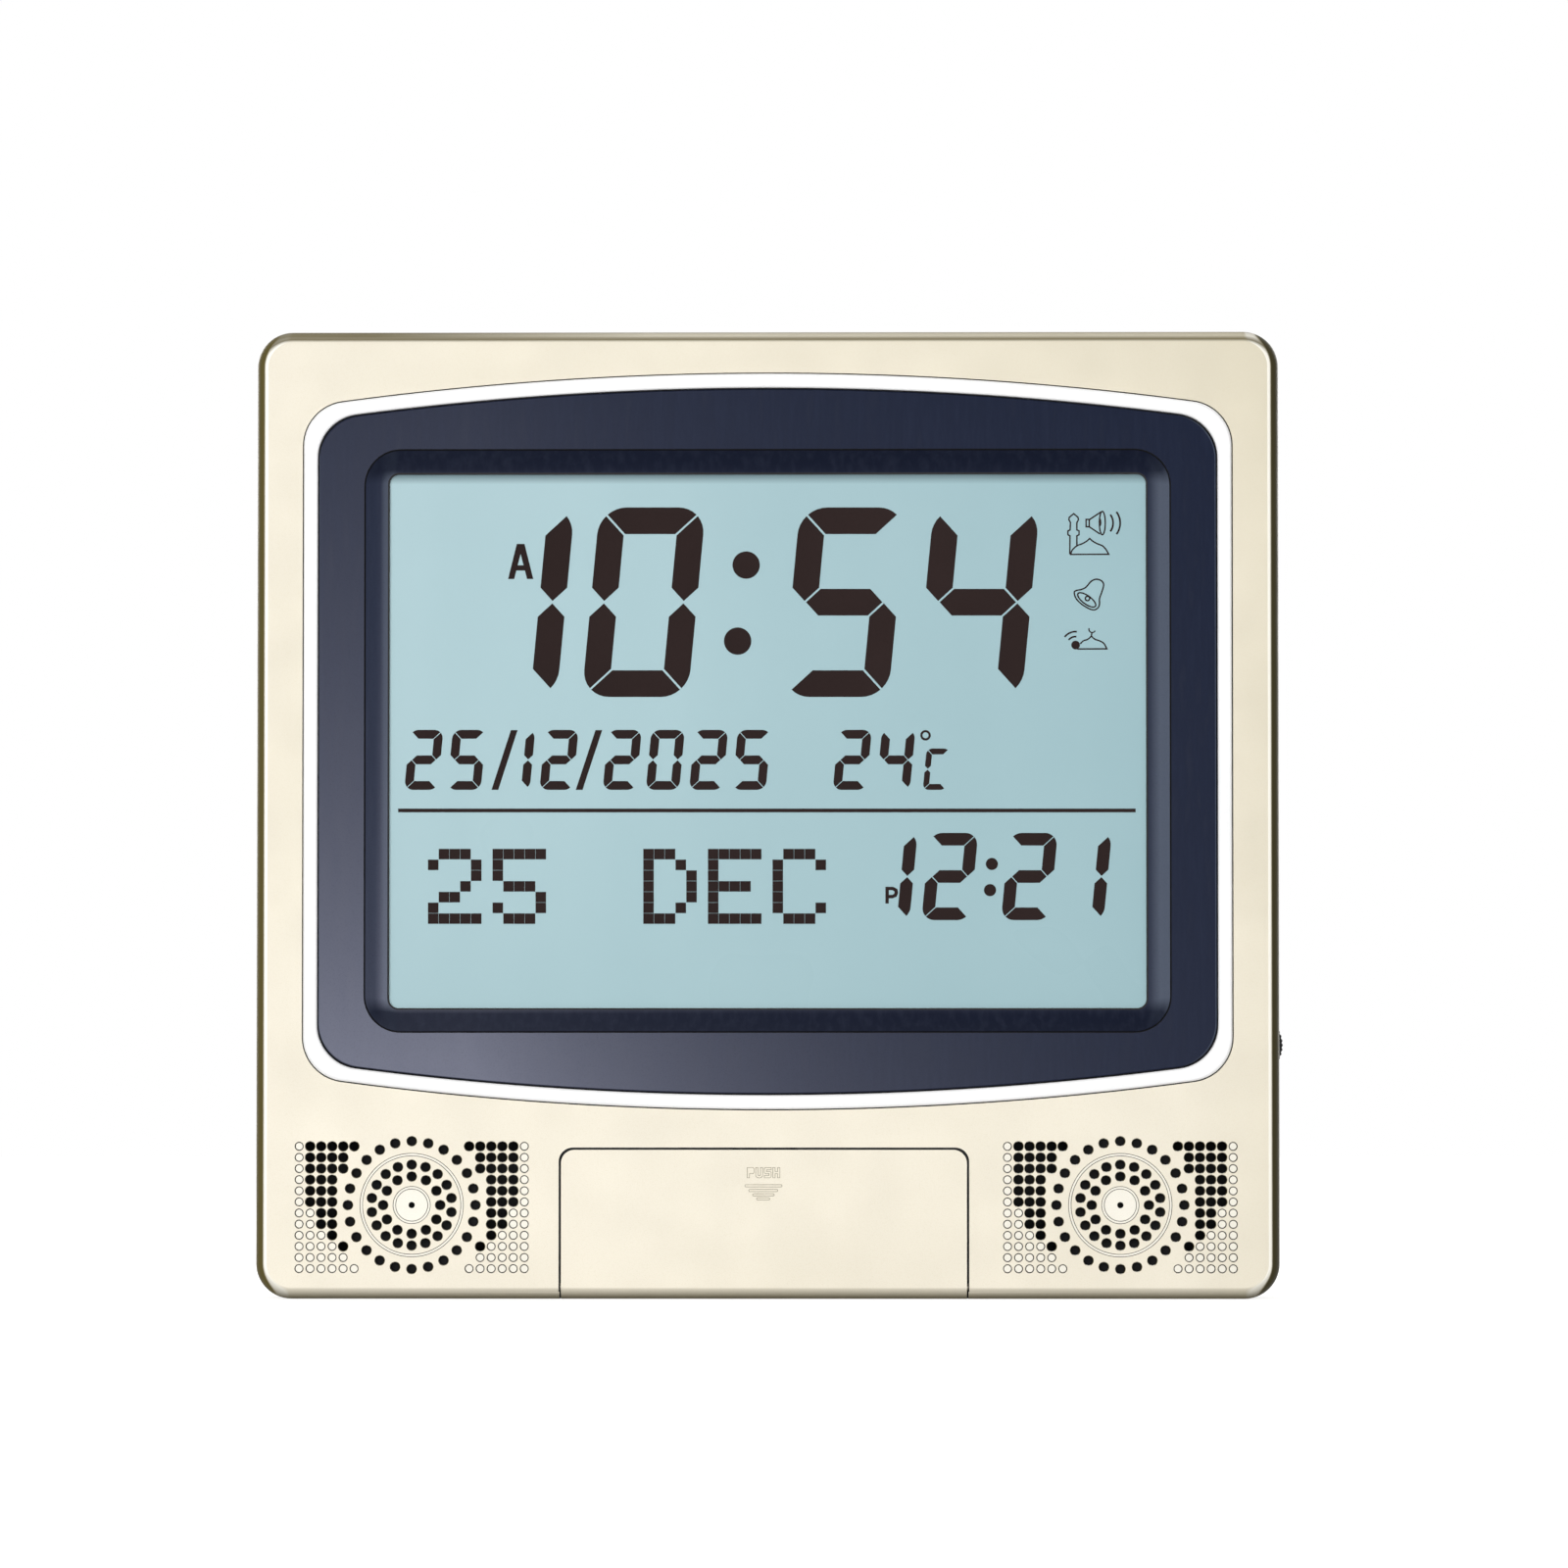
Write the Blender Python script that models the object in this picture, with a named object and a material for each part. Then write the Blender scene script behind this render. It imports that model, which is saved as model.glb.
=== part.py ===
"""Azan clock: a slim upright housing with a framed LCD, two speaker grilles, a push-open door and a thumb wheel.

The clock stands upright on its bottom edge. X is its width, Y its depth (the front faces -Y), Z its height.
The origin is the middle of the flat bottom. All lengths are in metres.
"""

import math

import bmesh
import bpy
from mathutils import Matrix, Vector

# Housing
body_width = 0.260
body_height = 0.246
front_depth = 0.020
corner_radius = 0.009
housing_corner_steps = 5
edge_radius = 0.003
wall = 0.0022
tongue_wall = 0.0014
tongue_reach = 0.002
tongue_root = 0.0015
tongue_slope = 0.0017
fit_gap = 0.0003
cut_margin = 0.002
root_overlap = 0.0005

# White ring and dark display frame
ring_side_margin = 0.012
ring_top_margin = 0.0108
ring_door_gap = 0.0099
ring_bow_radius = 0.818
ring_corner_radius = 0.015
ring_band = 0.0036
ring_rise = 0.0008
ring_edge = 0.0006
fascia_side = 0.0119
fascia_top = 0.0157
fascia_foot = 0.0159
fascia_rise = 0.0004
fascia_edge = 0.0004
bevel_corner_radius = 0.0072
bevel_width = 0.0059
bevel_depth = 0.003
sight_corner_radius = 0.0027
sight_lip = 0.0006
flange_reach = 0.003
flange_thickness = 0.0018
pocket_margin = 0.0045
pocket_corner_radius = 0.0008
pocket_rib = 0.0016
bow_steps = 8
corner_steps = 5

# LCD and its boards
glass_thickness = 0.0011
glass_ledge = 0.003
reflector_thickness = 0.0018
strip_width = 0.0019
strip_inset = 0.0006
strip_short = 0.005
board_thickness = 0.0016
board_margin = 0.0065
board_corner_radius = 0.003
board_boss_inset = 0.010
board_boss_clearance = 0.0007
component_space = 0.0052
blob_radius = 0.0085
blob_height = 0.0022
blob_offset_x = -0.030
blob_drop = 0.0247
can_radius = 0.004
can_height = 0.009
can_inset = 0.039
can_rise = 0.0214
crystal_length = 0.0105
crystal_width = 0.0042
crystal_height = 0.0034
crystal_offset_x = -0.028
crystal_drop = 0.007
edge_break = 0.0006

# Screws and their bosses
shank_radius = 0.0012
shank_tip_radius = 0.0006
head_radius = 0.0025
head_height = 0.0015
head_edge = 0.0004
pilot_gap = 0.0003
pilot_spare = 0.001
short_screw_length = 0.006
cover_screw_length = 0.013
boss_radius = 0.0032
small_boss_radius = 0.0028
boss_set_back = 0.0015
column_radius = 0.0034
counterbore_depth = 0.009
top_boss_clearance = 0.0019
round_sides = 8
counterbore_sides = 12
screw_sides = 8

# Door in the lower front, with its barrel, pins and snap tab
door_middle_x = -0.0009
door_grille_gap = 0.0086
door_high = 0.0378
door_thickness = 0.0018
door_corner_radius = 0.0034
door_seam = 0.0004
door_corner_steps = 3
barrel_steps = 12
door_pin_radius = 0.001
door_pin_length = 0.0023
lug_thickness = 0.0019
lug_offset = 0.0002
lug_wall = 0.0021
tab_half_width = 0.008
tab_drop = 0.0022
tab_thickness = 0.0013
tab_length = 0.0027
tab_nose = 0.0014
tab_nose_rise = 0.0018

# Control tray behind the door, its buttons and their board
tray_top_margin = 0.003
tray_wall = 0.0015
tray_floor_thickness = 0.0015
button_pitch_share = 0.58
button_row_rise = 0.0085
button_row_pitch = 0.015
button_half_width = 0.006
button_half_height = 0.0027
button_radius = 0.0026
button_steps = 2
button_rise = 0.0025
button_edge = 0.0004
button_flange = 0.0012
button_flange_thickness = 0.0009
button_travel = 0.0006
switch_half_width = 0.003
switch_height = 0.0035
plunger_half_width = 0.0015
plunger_height = 0.0008
button_board_margin = 0.0016

# Speaker grilles: round patterns flanked by square-pitched blocks of holes
grille_middle_x = -0.0004
grille_side_margin = 0.0401
grille_z = 0.0238
hole_radius = 0.0012
dimple_radius = 0.00115
dimple_depth = 0.0005
dimple_overrun = 0.0001
centre_hole_radius = 0.0008
hole_pitch = 0.0028
row_pitch = 0.00282
outer_column = 0.0286
top_row = 0.0149
hole_rings = ((24, 0.0162), (18, 0.01025), (12, 0.00725))
block_rows = (
    "o#####",
    "o####",
    "o####",
    "o###",
    "o###",
    "o###",
    "oo##",
    "oo##",
    "ooo#",
    "oooo#",
    "ooooo",
    "oooooo",
)
hole_sides = 6
dimple_sides = 6

# Speakers
speaker_sides = 14
speaker_flange_radius = 0.0185
speaker_flange_thickness = 0.001
speaker_cone_radius = 0.0152
speaker_neck_radius = 0.0095
speaker_back_depth = 0.0068
speaker_metal = 0.0008
cone_clearance = 0.0004
cone_throat_radius = 0.005
cone_depth = 0.0042
cone_thickness = 0.0005
dome_rise = 0.0012
magnet_overhang = 0.002
magnet_depth = 0.0065
magnet_edge = 0.001
magnet_pole_inset = 0.001

# Thumb wheel, its control and board
wheel_radius = 0.008
wheel_stand_out = 0.0012
wheel_boss_gap = 0.0163
wheel_set_back = 0.009
wheel_thickness = 0.003
wheel_ridges = 42
wheel_ridge_depth = 0.00025
wheel_clearance = 0.0004
slot_sides = 32
wheel_shaft_radius = 0.0015
wheel_shaft_length = 0.0028
control_half_height = 0.0062
control_inner_reach = 0.0065
control_floor = 0.0007
control_corner_radius = 0.0012
volume_board_thickness = 0.0012
volume_board_margin = 0.0008
volume_board_rise = 0.0091
volume_post_offset = 0.0088

# Battery compartment in the rear cover
cell_radius = 0.00725
cell_length = 0.0505
nub_radius = 0.0027
nub_length = 0.001
cell_sides = 12
cell_edge = 0.0007
cell_spare = 0.001
leaf_thickness = 0.0004
leaf_base = 0.0003
leaf_bulge = 0.0025
leaf_half_span = 0.005
leaf_half_flat = 0.0032
leaf_half_width = 0.0038
compartment_wall = 0.0015
rebate_width = 0.0024
rebate_depth = 0.0025
rim_wall = 0.0019
rim_depth = 0.0018
rim_slope = 0.0015
battery_door_thickness = 0.0022
thumb_groove_half_width = 0.007
thumb_groove_height = 0.0012
thumb_groove_depth = 0.0007
thumb_groove_pitch = 0.0026
thumb_groove_drop = 0.0105
thumb_grooves = 3

# Folding stand leg on the back
leg_half_width = 0.0195
leg_length = 0.086
leg_thickness = 0.003
leg_pin_radius = 0.0012
leg_pin_length = 0.0022
leg_foot_inset = 0.004
finger_gap = 0.0058
recess_low = 0.0062
recess_clearance = 0.0006
recess_wall = 0.003
recess_floor = 0.0016
leg_end_steps = 6
leg_battery_gap = 0.0113

# Hanging holes in the back
keyhole_x = 0.070
keyhole_top_margin = 0.039
keyhole_radius = 0.0042
keyhole_slot_half_width = 0.0021
keyhole_slot_length = 0.009
keyhole_sides = 12

# Places in depth: the display, the board and the cells decide how deep the housing is
pocket_depth = 2 * glass_thickness + reflector_thickness + 2 * fit_gap
display_depth = bevel_depth - fascia_rise + sight_lip + pocket_depth + fit_gap + board_thickness
cell_depth = rebate_depth + fit_gap + 2 * cell_radius + fit_gap + compartment_wall
body_depth = display_depth + component_space + cell_depth
front_y = -body_depth / 2
back_y = body_depth / 2
parting_y = front_y + front_depth
inner_front_y = front_y + wall
inner_back_y = back_y - wall
fascia_y = front_y - fascia_rise
flange_y = inner_front_y + fit_gap
flange_back_y = flange_y + flange_thickness
sight_y = fascia_y + bevel_depth
pocket_y = sight_y + sight_lip
pocket_back_y = pocket_y + pocket_depth
board_y = pocket_back_y + fit_gap
board_back_y = board_y + board_thickness
boss_end_y = parting_y - boss_set_back
counterbore_floor_y = back_y - counterbore_depth
cell_y = back_y - rebate_depth - fit_gap - cell_radius
compartment_floor_y = cell_y - cell_radius - fit_gap
leg_axis_y = back_y - fit_gap - leg_thickness / 2
recess_y = leg_axis_y - leg_thickness / 2 - fit_gap

# Places across the front
half_width = body_width / 2
grille_offset_x = half_width - grille_side_margin
door_half_width = grille_offset_x - outer_column - hole_radius - door_grille_gap
ring_half_width = half_width - ring_side_margin
ring_low = door_high + door_seam + ring_door_gap
ring_high = body_height - ring_top_margin
frame_inset = ring_band + fit_gap
bevel_half_width = ring_half_width - frame_inset - fascia_side
bevel_low = ring_low + frame_inset + fascia_foot
bevel_high = ring_high - frame_inset - fascia_top
sight_half_width = bevel_half_width - bevel_width
sight_low = bevel_low + bevel_width
sight_high = bevel_high - bevel_width

# Bosses
edge_to_boss = wall + fit_gap + tongue_wall + fit_gap + column_radius
low_boss_x = half_width - edge_to_boss
low_boss_z = ring_low
top_boss_x = half_width - edge_to_boss - top_boss_clearance
top_boss_z = body_height - edge_to_boss - top_boss_clearance
board_boss_x = sight_half_width + pocket_margin + pocket_rib + board_boss_clearance + small_boss_radius
board_half_width = board_boss_x + small_boss_radius + fit_gap
board_boss_low = sight_low + board_boss_inset
board_boss_high = sight_high - board_boss_inset
blob_z = sight_high - blob_drop
can_x = board_half_width - can_inset
can_z = sight_low + can_rise
crystal_x = blob_offset_x + crystal_offset_x
crystal_z = blob_z - crystal_drop

# Door, tray and buttons
barrel_y = front_y + edge_radius
barrel_z = edge_radius
lug_reach = edge_radius - wall + door_pin_radius + fit_gap + lug_wall
lug_side = door_half_width + door_seam + lug_offset
tray_half_width = lug_side + lug_thickness + fit_gap + tray_wall
tray_low = wall + fit_gap
tray_high = door_high + door_seam + tray_top_margin
tray_floor_y = inner_front_y + lug_reach + fit_gap
tray_back_y = tray_floor_y + tray_floor_thickness
button_pitch = button_pitch_share * door_half_width
button_low_row = 2 * edge_radius + button_row_rise
button_front_y = tray_floor_y - button_rise
button_flange_y = tray_back_y + fit_gap
button_back_y = button_flange_y + button_flange_thickness
plunger_y = button_back_y + button_travel + fit_gap
button_board_y = plunger_y + plunger_height + switch_height
button_reach = button_pitch + button_half_width + button_flange
tray_boss_x = (button_reach + tray_half_width - tray_wall) / 2
tray_boss_z = button_low_row + button_row_pitch / 2
speaker_y = inner_front_y + fit_gap

# Thumb wheel and its board
wheel_x = half_width + wheel_stand_out - wheel_radius
wheel_z = low_boss_z + wheel_boss_gap
wheel_front_y = front_y + wheel_set_back
wheel_back_y = wheel_front_y + wheel_thickness
shaft_end_y = wheel_back_y + fit_gap + wheel_shaft_length
control_y = wheel_back_y + fit_gap
control_back_y = shaft_end_y + fit_gap + control_floor
side_wall_x = half_width - wall - fit_gap
volume_board_y = control_back_y + fit_gap
volume_board_back_y = volume_board_y + volume_board_thickness
volume_post_x = low_boss_x - volume_post_offset
volume_post_z = low_boss_z

# Back of the housing
compartment_half_length = cell_length / 2 + leaf_base + leaf_bulge + leaf_thickness + fit_gap
cell_spacing = 2 * cell_radius + cell_spare
compartment_half_height = cell_spacing / 2 + cell_radius + fit_gap
leg_low = recess_low + finger_gap
leg_axis_z = leg_low + leg_length
recess_high = leg_axis_z + leg_thickness / 2 + recess_clearance
rim_reach = rebate_width + rim_wall
battery_z = recess_high + recess_wall + leg_battery_gap + rim_reach + compartment_half_height
keyhole_z = body_height - keyhole_top_margin


def clear_scene():
    for item in list(bpy.data.objects):
        bpy.data.objects.remove(item)


def plain_material(name, colour, roughness, metallic):
    """A material with one Principled BSDF."""
    material = bpy.data.materials.new(name)
    material.use_nodes = True
    shader = material.node_tree.nodes["Principled BSDF"]
    shader.inputs["Base Color"].default_value = (*colour, 1.0)
    shader.inputs["Roughness"].default_value = roughness
    shader.inputs["Metallic"].default_value = metallic
    material.diffuse_color = (*colour, 1.0)
    return material


def object_from(name, mesh, material=None):
    """Turns a bmesh into a scene object."""
    bmesh.ops.recalc_face_normals(mesh, faces=mesh.faces)
    data = bpy.data.meshes.new(name)
    mesh.to_mesh(data)
    mesh.free()
    made = bpy.data.objects.new(name, data)
    bpy.context.scene.collection.objects.link(made)
    if material:
        data.materials.append(material)
    return made


def add_skin(mesh, rings, looped=False):
    """Adds a closed surface through rings of points, capped at both ends or joined end to end."""
    loops = [[mesh.verts.new(point) for point in ring] for ring in rings]
    pairs = list(zip(loops, loops[1:]))
    if looped:
        pairs.append((loops[-1], loops[0]))
    else:
        mesh.faces.new(loops[0])
        mesh.faces.new(loops[-1])
    for near, far in pairs:
        for i, point in enumerate(near):
            j = (i + 1) % len(near)
            mesh.faces.new((point, near[j], far[j], far[i]))


def skinned(name, rings, material=None, looped=False):
    mesh = bmesh.new()
    add_skin(mesh, rings, looped)
    return object_from(name, mesh, material)


def shade_smooth(target, limit=math.radians(35)):
    target.data.shade_smooth()
    target.data.set_sharp_from_angle(angle=limit)


def hide_cutter(cutter):
    cutter.hide_render = True
    cutter.display_type = "WIRE"


def boolean(target, other, operation):
    step = target.modifiers.new(other.name, "BOOLEAN")
    step.object = other
    step.operation = operation
    step.solver = "EXACT"
    hide_cutter(other)


def cut(target, cutter):
    boolean(target, cutter, "DIFFERENCE")


def join(target, addition):
    boolean(target, addition, "UNION")


def move_origin(target, point):
    """Puts the object's origin on the given point without moving its shape."""
    target.data.transform(Matrix.Translation(-Vector(point)))
    target.location = point


def bowed_outline(half, low, high, radius, bow_radius=None):
    """A rounded rectangle in X and Z whose top and bottom may bow outwards, counter-clockwise from the right."""
    middle_x = half - radius
    if bow_radius:
        bow_z = high - bow_radius
        middle_z = bow_z + math.sqrt((bow_radius - radius) ** 2 - middle_x**2)
        turn = math.atan2(middle_z - bow_z, middle_x)
        angles = [turn + (math.pi - 2 * turn) * k / bow_steps for k in range(bow_steps + 1)]
        bow = [(bow_radius * math.cos(a), bow_z + bow_radius * math.sin(a)) for a in angles]
    else:
        middle_z = high - radius
        turn = math.pi / 2
        bow = [(middle_x - 2 * middle_x * k / bow_steps, high) for k in range(bow_steps + 1)]
    angles = [turn * k / corner_steps for k in range(corner_steps)]
    corner = [(middle_x + radius * math.cos(a), middle_z + radius * math.sin(a)) for a in angles]
    upper = corner + bow + [(-x, z) for x, z in reversed(corner)]
    return upper + [(x, low + high - z) for x, z in reversed(upper)]


def rounded_outline(half, low, high, radius, steps, middle=0.0):
    """A rounded rectangle in X and Z with straight sides."""
    points = []
    centres = (
        (middle + half - radius, high - radius),
        (middle - half + radius, high - radius),
        (middle - half + radius, low + radius),
        (middle + half - radius, low + radius),
    )
    for quarter, (x, z) in enumerate(centres):
        for k in range(steps + 1):
            a = math.pi / 2 * (quarter + k / steps)
            points.append((x + radius * math.cos(a), z + radius * math.sin(a)))
    return points


def box_outline(half, low, high, middle=0.0):
    return [(middle + half, low), (middle + half, high), (middle - half, high), (middle - half, low)]


def at_depth(outline, y):
    return [Vector((x, y, z)) for x, z in outline]


def circle_xz(x, z, y, radius, sides):
    """A ring of points about an axis along Y."""
    angles = [2 * math.pi * (k + 0.5) / sides for k in range(sides)]
    return [Vector((x + radius * math.cos(a), y, z + radius * math.sin(a))) for a in angles]


def circle_yz(x, y, z, radius, sides):
    """A ring of points about an axis along X."""
    angles = [2 * math.pi * (k + 0.5) / sides for k in range(sides)]
    return [Vector((x, y + radius * math.cos(a), z + radius * math.sin(a))) for a in angles]


def block(name, outline, near_y, far_y, material=None):
    return skinned(name, [at_depth(outline, near_y), at_depth(outline, far_y)], material)


def eased_plate(name, outline_at, near_y, far_y, ease, material):
    """A plate with broken edges; outline_at gives its outline for an inset."""
    rings = [
        at_depth(outline_at(ease), near_y),
        at_depth(outline_at(0.0), near_y + ease),
        at_depth(outline_at(0.0), far_y - ease),
        at_depth(outline_at(ease), far_y),
    ]
    return skinned(name, rings, material)


def rods(name, places, near_y, far_y, radius, sides=round_sides):
    """Separate round rods along Y in one mesh, for bosses and for drilling holes."""
    mesh = bmesh.new()
    for x, z in places:
        add_skin(mesh, [circle_xz(x, z, y, radius, sides) for y in (near_y, far_y)])
    return object_from(name, mesh)


def turned(name, x, z, profile, sides, material, looped=False):
    """A body turned about an axis along Y at x, z; the profile lists radius and y."""
    rings = [circle_xz(x, z, y, radius, sides) for radius, y in profile]
    made = skinned(name, rings, material, looped)
    shade_smooth(made)
    return made


def mirrored(x, z):
    return ((x, z), (-x, z))


def housing_outline(inset):
    return rounded_outline(
        half_width - inset, inset, body_height - inset, corner_radius - inset, housing_corner_steps
    )


def edge_rounding(steps=3):
    """Insets and depths of the rounding round the front or back of the housing."""
    angles = [math.pi / 2 * k / steps for k in range(steps + 1)]
    return [(edge_radius * (1 - math.sin(a)), edge_radius * (1 - math.cos(a))) for a in angles]


def window_outline(grow):
    return bowed_outline(
        ring_half_width + grow,
        ring_low - grow,
        ring_high + grow,
        ring_corner_radius + grow,
        ring_bow_radius + grow,
    )


def bevel_outline():
    return bowed_outline(bevel_half_width, bevel_low, bevel_high, bevel_corner_radius)


def sight_outline(grow=0.0, radius=sight_corner_radius):
    return bowed_outline(sight_half_width + grow, sight_low - grow, sight_high + grow, radius)


def grille_holes():
    """Places of the through holes, the shallow dimples and the two centre holes."""
    holes = []
    dimples = []
    centres = []
    for side in (-1, 1):
        middle = grille_middle_x + side * grille_offset_x
        centres.append((middle, grille_z))
        for row, marks in enumerate(block_rows):
            for column, mark in enumerate(marks):
                reach = outer_column - hole_pitch * column
                places = holes if mark == "#" else dimples
                z = grille_z + top_row - row_pitch * row
                places.append((middle - reach, z))
                places.append((middle + reach, z))
        for count, radius in hole_rings:
            for k in range(count):
                a = 2 * math.pi * k / count
                holes.append((middle + radius * math.sin(a), grille_z + radius * math.cos(a)))
    return holes, dimples, centres


def make_front_shell(material):
    """Front half of the housing, open at the back."""
    rings = [at_depth(housing_outline(inset), front_y + y) for inset, y in edge_rounding()]
    rings.append(at_depth(housing_outline(0.0), parting_y))
    rings.append(at_depth(housing_outline(wall), parting_y))
    rings.append(at_depth(housing_outline(wall), inner_front_y))
    shell = skinned("front_shell", rings, material)

    near_y = front_y - cut_margin
    through_y = inner_front_y + cut_margin
    cut(shell, block("window_cut", window_outline(fit_gap), near_y, through_y))
    opening = door_half_width + door_seam
    corners = rounded_outline(
        opening, -door_high, door_high + door_seam, door_corner_radius, door_corner_steps, door_middle_x
    )
    cut(shell, block("door_cut", corners, near_y, barrel_y + edge_radius + fit_gap))

    join(shell, make_hinge_lugs())
    sleeve = [
        circle_yz(door_middle_x + side * (opening + lug_thickness + cut_margin), barrel_y, barrel_z,
                  door_pin_radius + fit_gap, round_sides)
        for side in (-1, 1)
    ]
    cut(shell, skinned("door_pin_cut", sleeve))

    bosses = mirrored(top_boss_x, top_boss_z) + mirrored(low_boss_x, low_boss_z)
    root_y = inner_front_y - root_overlap
    join(shell, rods("cover_bosses", bosses, root_y, boss_end_y, boss_radius))
    post = ((volume_post_x, volume_post_z),)
    join(shell, rods("volume_post", post, root_y, volume_board_y - fit_gap, small_boss_radius))
    pilot = shank_radius + pilot_gap
    floor_y = counterbore_floor_y + fit_gap - cover_screw_length - pilot_spare
    cut(shell, rods("cover_pilots", bosses, floor_y, boss_end_y + cut_margin, pilot))
    floor_y = volume_board_back_y + fit_gap - short_screw_length - pilot_spare
    cut(shell, rods("volume_pilot", post, floor_y, volume_board_y + cut_margin, pilot))

    slot = wheel_radius + wheel_clearance
    cut(shell, rods("wheel_slot", ((wheel_x, wheel_z),), wheel_front_y - wheel_clearance,
                    wheel_back_y + wheel_clearance, slot, slot_sides))

    holes, dimples, centres = grille_holes()
    cut(shell, rods("grille_drills", holes, near_y, through_y, hole_radius, hole_sides))
    cut(shell, rods("centre_drills", centres, near_y, through_y, centre_hole_radius, hole_sides))
    cut(shell, make_dimple_drills(dimples))
    shade_smooth(shell)
    return shell


def make_dimple_drills(places):
    """Pointed drills whose tips leave shallow conical dimples in the front."""
    mesh = bmesh.new()
    depth = dimple_depth + dimple_overrun
    for x, z in places:
        middle = Vector((x, front_y + dimple_depth - depth / 2, z))
        bmesh.ops.create_cone(
            mesh,
            cap_ends=True,
            segments=dimple_sides,
            radius1=dimple_radius * depth / dimple_depth,
            radius2=0,
            depth=depth,
            matrix=Matrix.Translation(middle) @ Matrix.Rotation(-math.pi / 2, 4, "X"),
        )
    return object_from("dimple_drills", mesh)


def make_hinge_lugs():
    """Two lugs inside the housing that take the door's pins."""
    mesh = bmesh.new()
    for side in (-1, 1):
        middle = door_middle_x + side * (lug_side + lug_thickness / 2)
        outline = box_outline(lug_thickness / 2, wall - root_overlap, wall + lug_reach, middle)
        ends = (inner_front_y - root_overlap, inner_front_y + lug_reach)
        add_skin(mesh, [at_depth(outline, y) for y in ends])
    return object_from("hinge_lugs", mesh)


def make_accent_ring(material):
    """Bright ring round the display frame."""
    back_y = flange_y - fit_gap
    top_y = front_y - ring_rise
    band = -ring_band
    rings = [
        at_depth(window_outline(0.0), back_y),
        at_depth(window_outline(0.0), top_y + ring_edge),
        at_depth(window_outline(-ring_edge), top_y),
        at_depth(window_outline(band + ring_edge), top_y),
        at_depth(window_outline(band), top_y + ring_edge),
        at_depth(window_outline(band), back_y),
    ]
    ring = skinned("accent_ring", rings, material, looped=True)
    shade_smooth(ring, math.radians(60))
    return ring


def make_display_frame(material):
    """Dark frame with a bevel down to the LCD, a flange behind the housing and a pocket for the glass."""
    outer = -frame_inset
    pocket = sight_outline(pocket_margin, pocket_corner_radius)
    rib = sight_outline(pocket_margin + pocket_rib, pocket_corner_radius + pocket_rib)
    rings = [
        at_depth(window_outline(flange_reach), flange_y),
        at_depth(window_outline(outer), flange_y),
        at_depth(window_outline(outer), fascia_y + fascia_edge),
        at_depth(window_outline(outer - fascia_edge), fascia_y),
        at_depth(bevel_outline(), fascia_y),
        at_depth(sight_outline(), sight_y),
        at_depth(sight_outline(), pocket_y),
        at_depth(pocket, pocket_y),
        at_depth(pocket, pocket_back_y),
        at_depth(rib, pocket_back_y),
        at_depth(rib, flange_back_y),
        at_depth(window_outline(flange_reach), flange_back_y),
    ]
    frame = skinned("display_frame", rings, material, looped=True)
    places = board_screw_places()
    join(frame, rods("frame_bosses", places, flange_back_y - root_overlap, pocket_back_y, small_boss_radius))
    floor_y = board_back_y + fit_gap - short_screw_length - pilot_spare
    cut(frame, rods("frame_pilots", places, floor_y, pocket_back_y + cut_margin, shank_radius + pilot_gap))
    shade_smooth(frame)
    return frame


def board_screw_places():
    return mirrored(board_boss_x, board_boss_low) + mirrored(board_boss_x, board_boss_high)


def pocket_box(inset, ledge=0.0):
    reach = pocket_margin - inset
    return box_outline(sight_half_width + reach, sight_low - reach + ledge, sight_high + reach - ledge)


def make_lcd_panel(material):
    """Two bonded glasses; the rear one is shorter and leaves a contact ledge above and below."""
    near_y = pocket_y + fit_gap
    middle_y = near_y + glass_thickness
    rings = [
        at_depth(pocket_box(fit_gap), near_y),
        at_depth(pocket_box(fit_gap), middle_y),
        at_depth(pocket_box(fit_gap, glass_ledge), middle_y),
        at_depth(pocket_box(fit_gap, glass_ledge), middle_y + glass_thickness),
    ]
    return skinned("lcd_panel", rings, material)


def make_lcd_reflector(material):
    near_y = pocket_y + 2 * glass_thickness + 2 * fit_gap

    def outline_at(inset):
        return pocket_box(2 * fit_gap + inset, glass_ledge)

    return eased_plate(
        "lcd_reflector", outline_at, near_y, near_y + reflector_thickness, fit_gap, material
    )


def make_contact_strips(material):
    """Elastomer strips that join the glass ledges to the board."""
    near_y = pocket_y + glass_thickness + 2 * fit_gap
    far_y = board_y - fit_gap
    half = sight_half_width + pocket_margin - strip_short
    low = sight_low - pocket_margin + strip_inset
    high = sight_high + pocket_margin - strip_inset
    for name, z in (("contact_strip_low", low), ("contact_strip_high", high - strip_width)):

        def outline_at(inset, z=z):
            return box_outline(half - inset, z + inset, z + strip_width - inset)

        eased_plate(name, outline_at, near_y, far_y, fit_gap, material)


def make_main_board(material):
    outline = rounded_outline(
        board_half_width, sight_low - board_margin, sight_high + board_margin, board_corner_radius, 2
    )
    board = block("main_board", outline, board_y, board_back_y, material)
    near_y = board_y - cut_margin
    far_y = board_back_y + cut_margin
    cut(board, rods("board_holes", board_screw_places(), near_y, far_y, shank_radius + pilot_gap))
    return board


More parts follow.
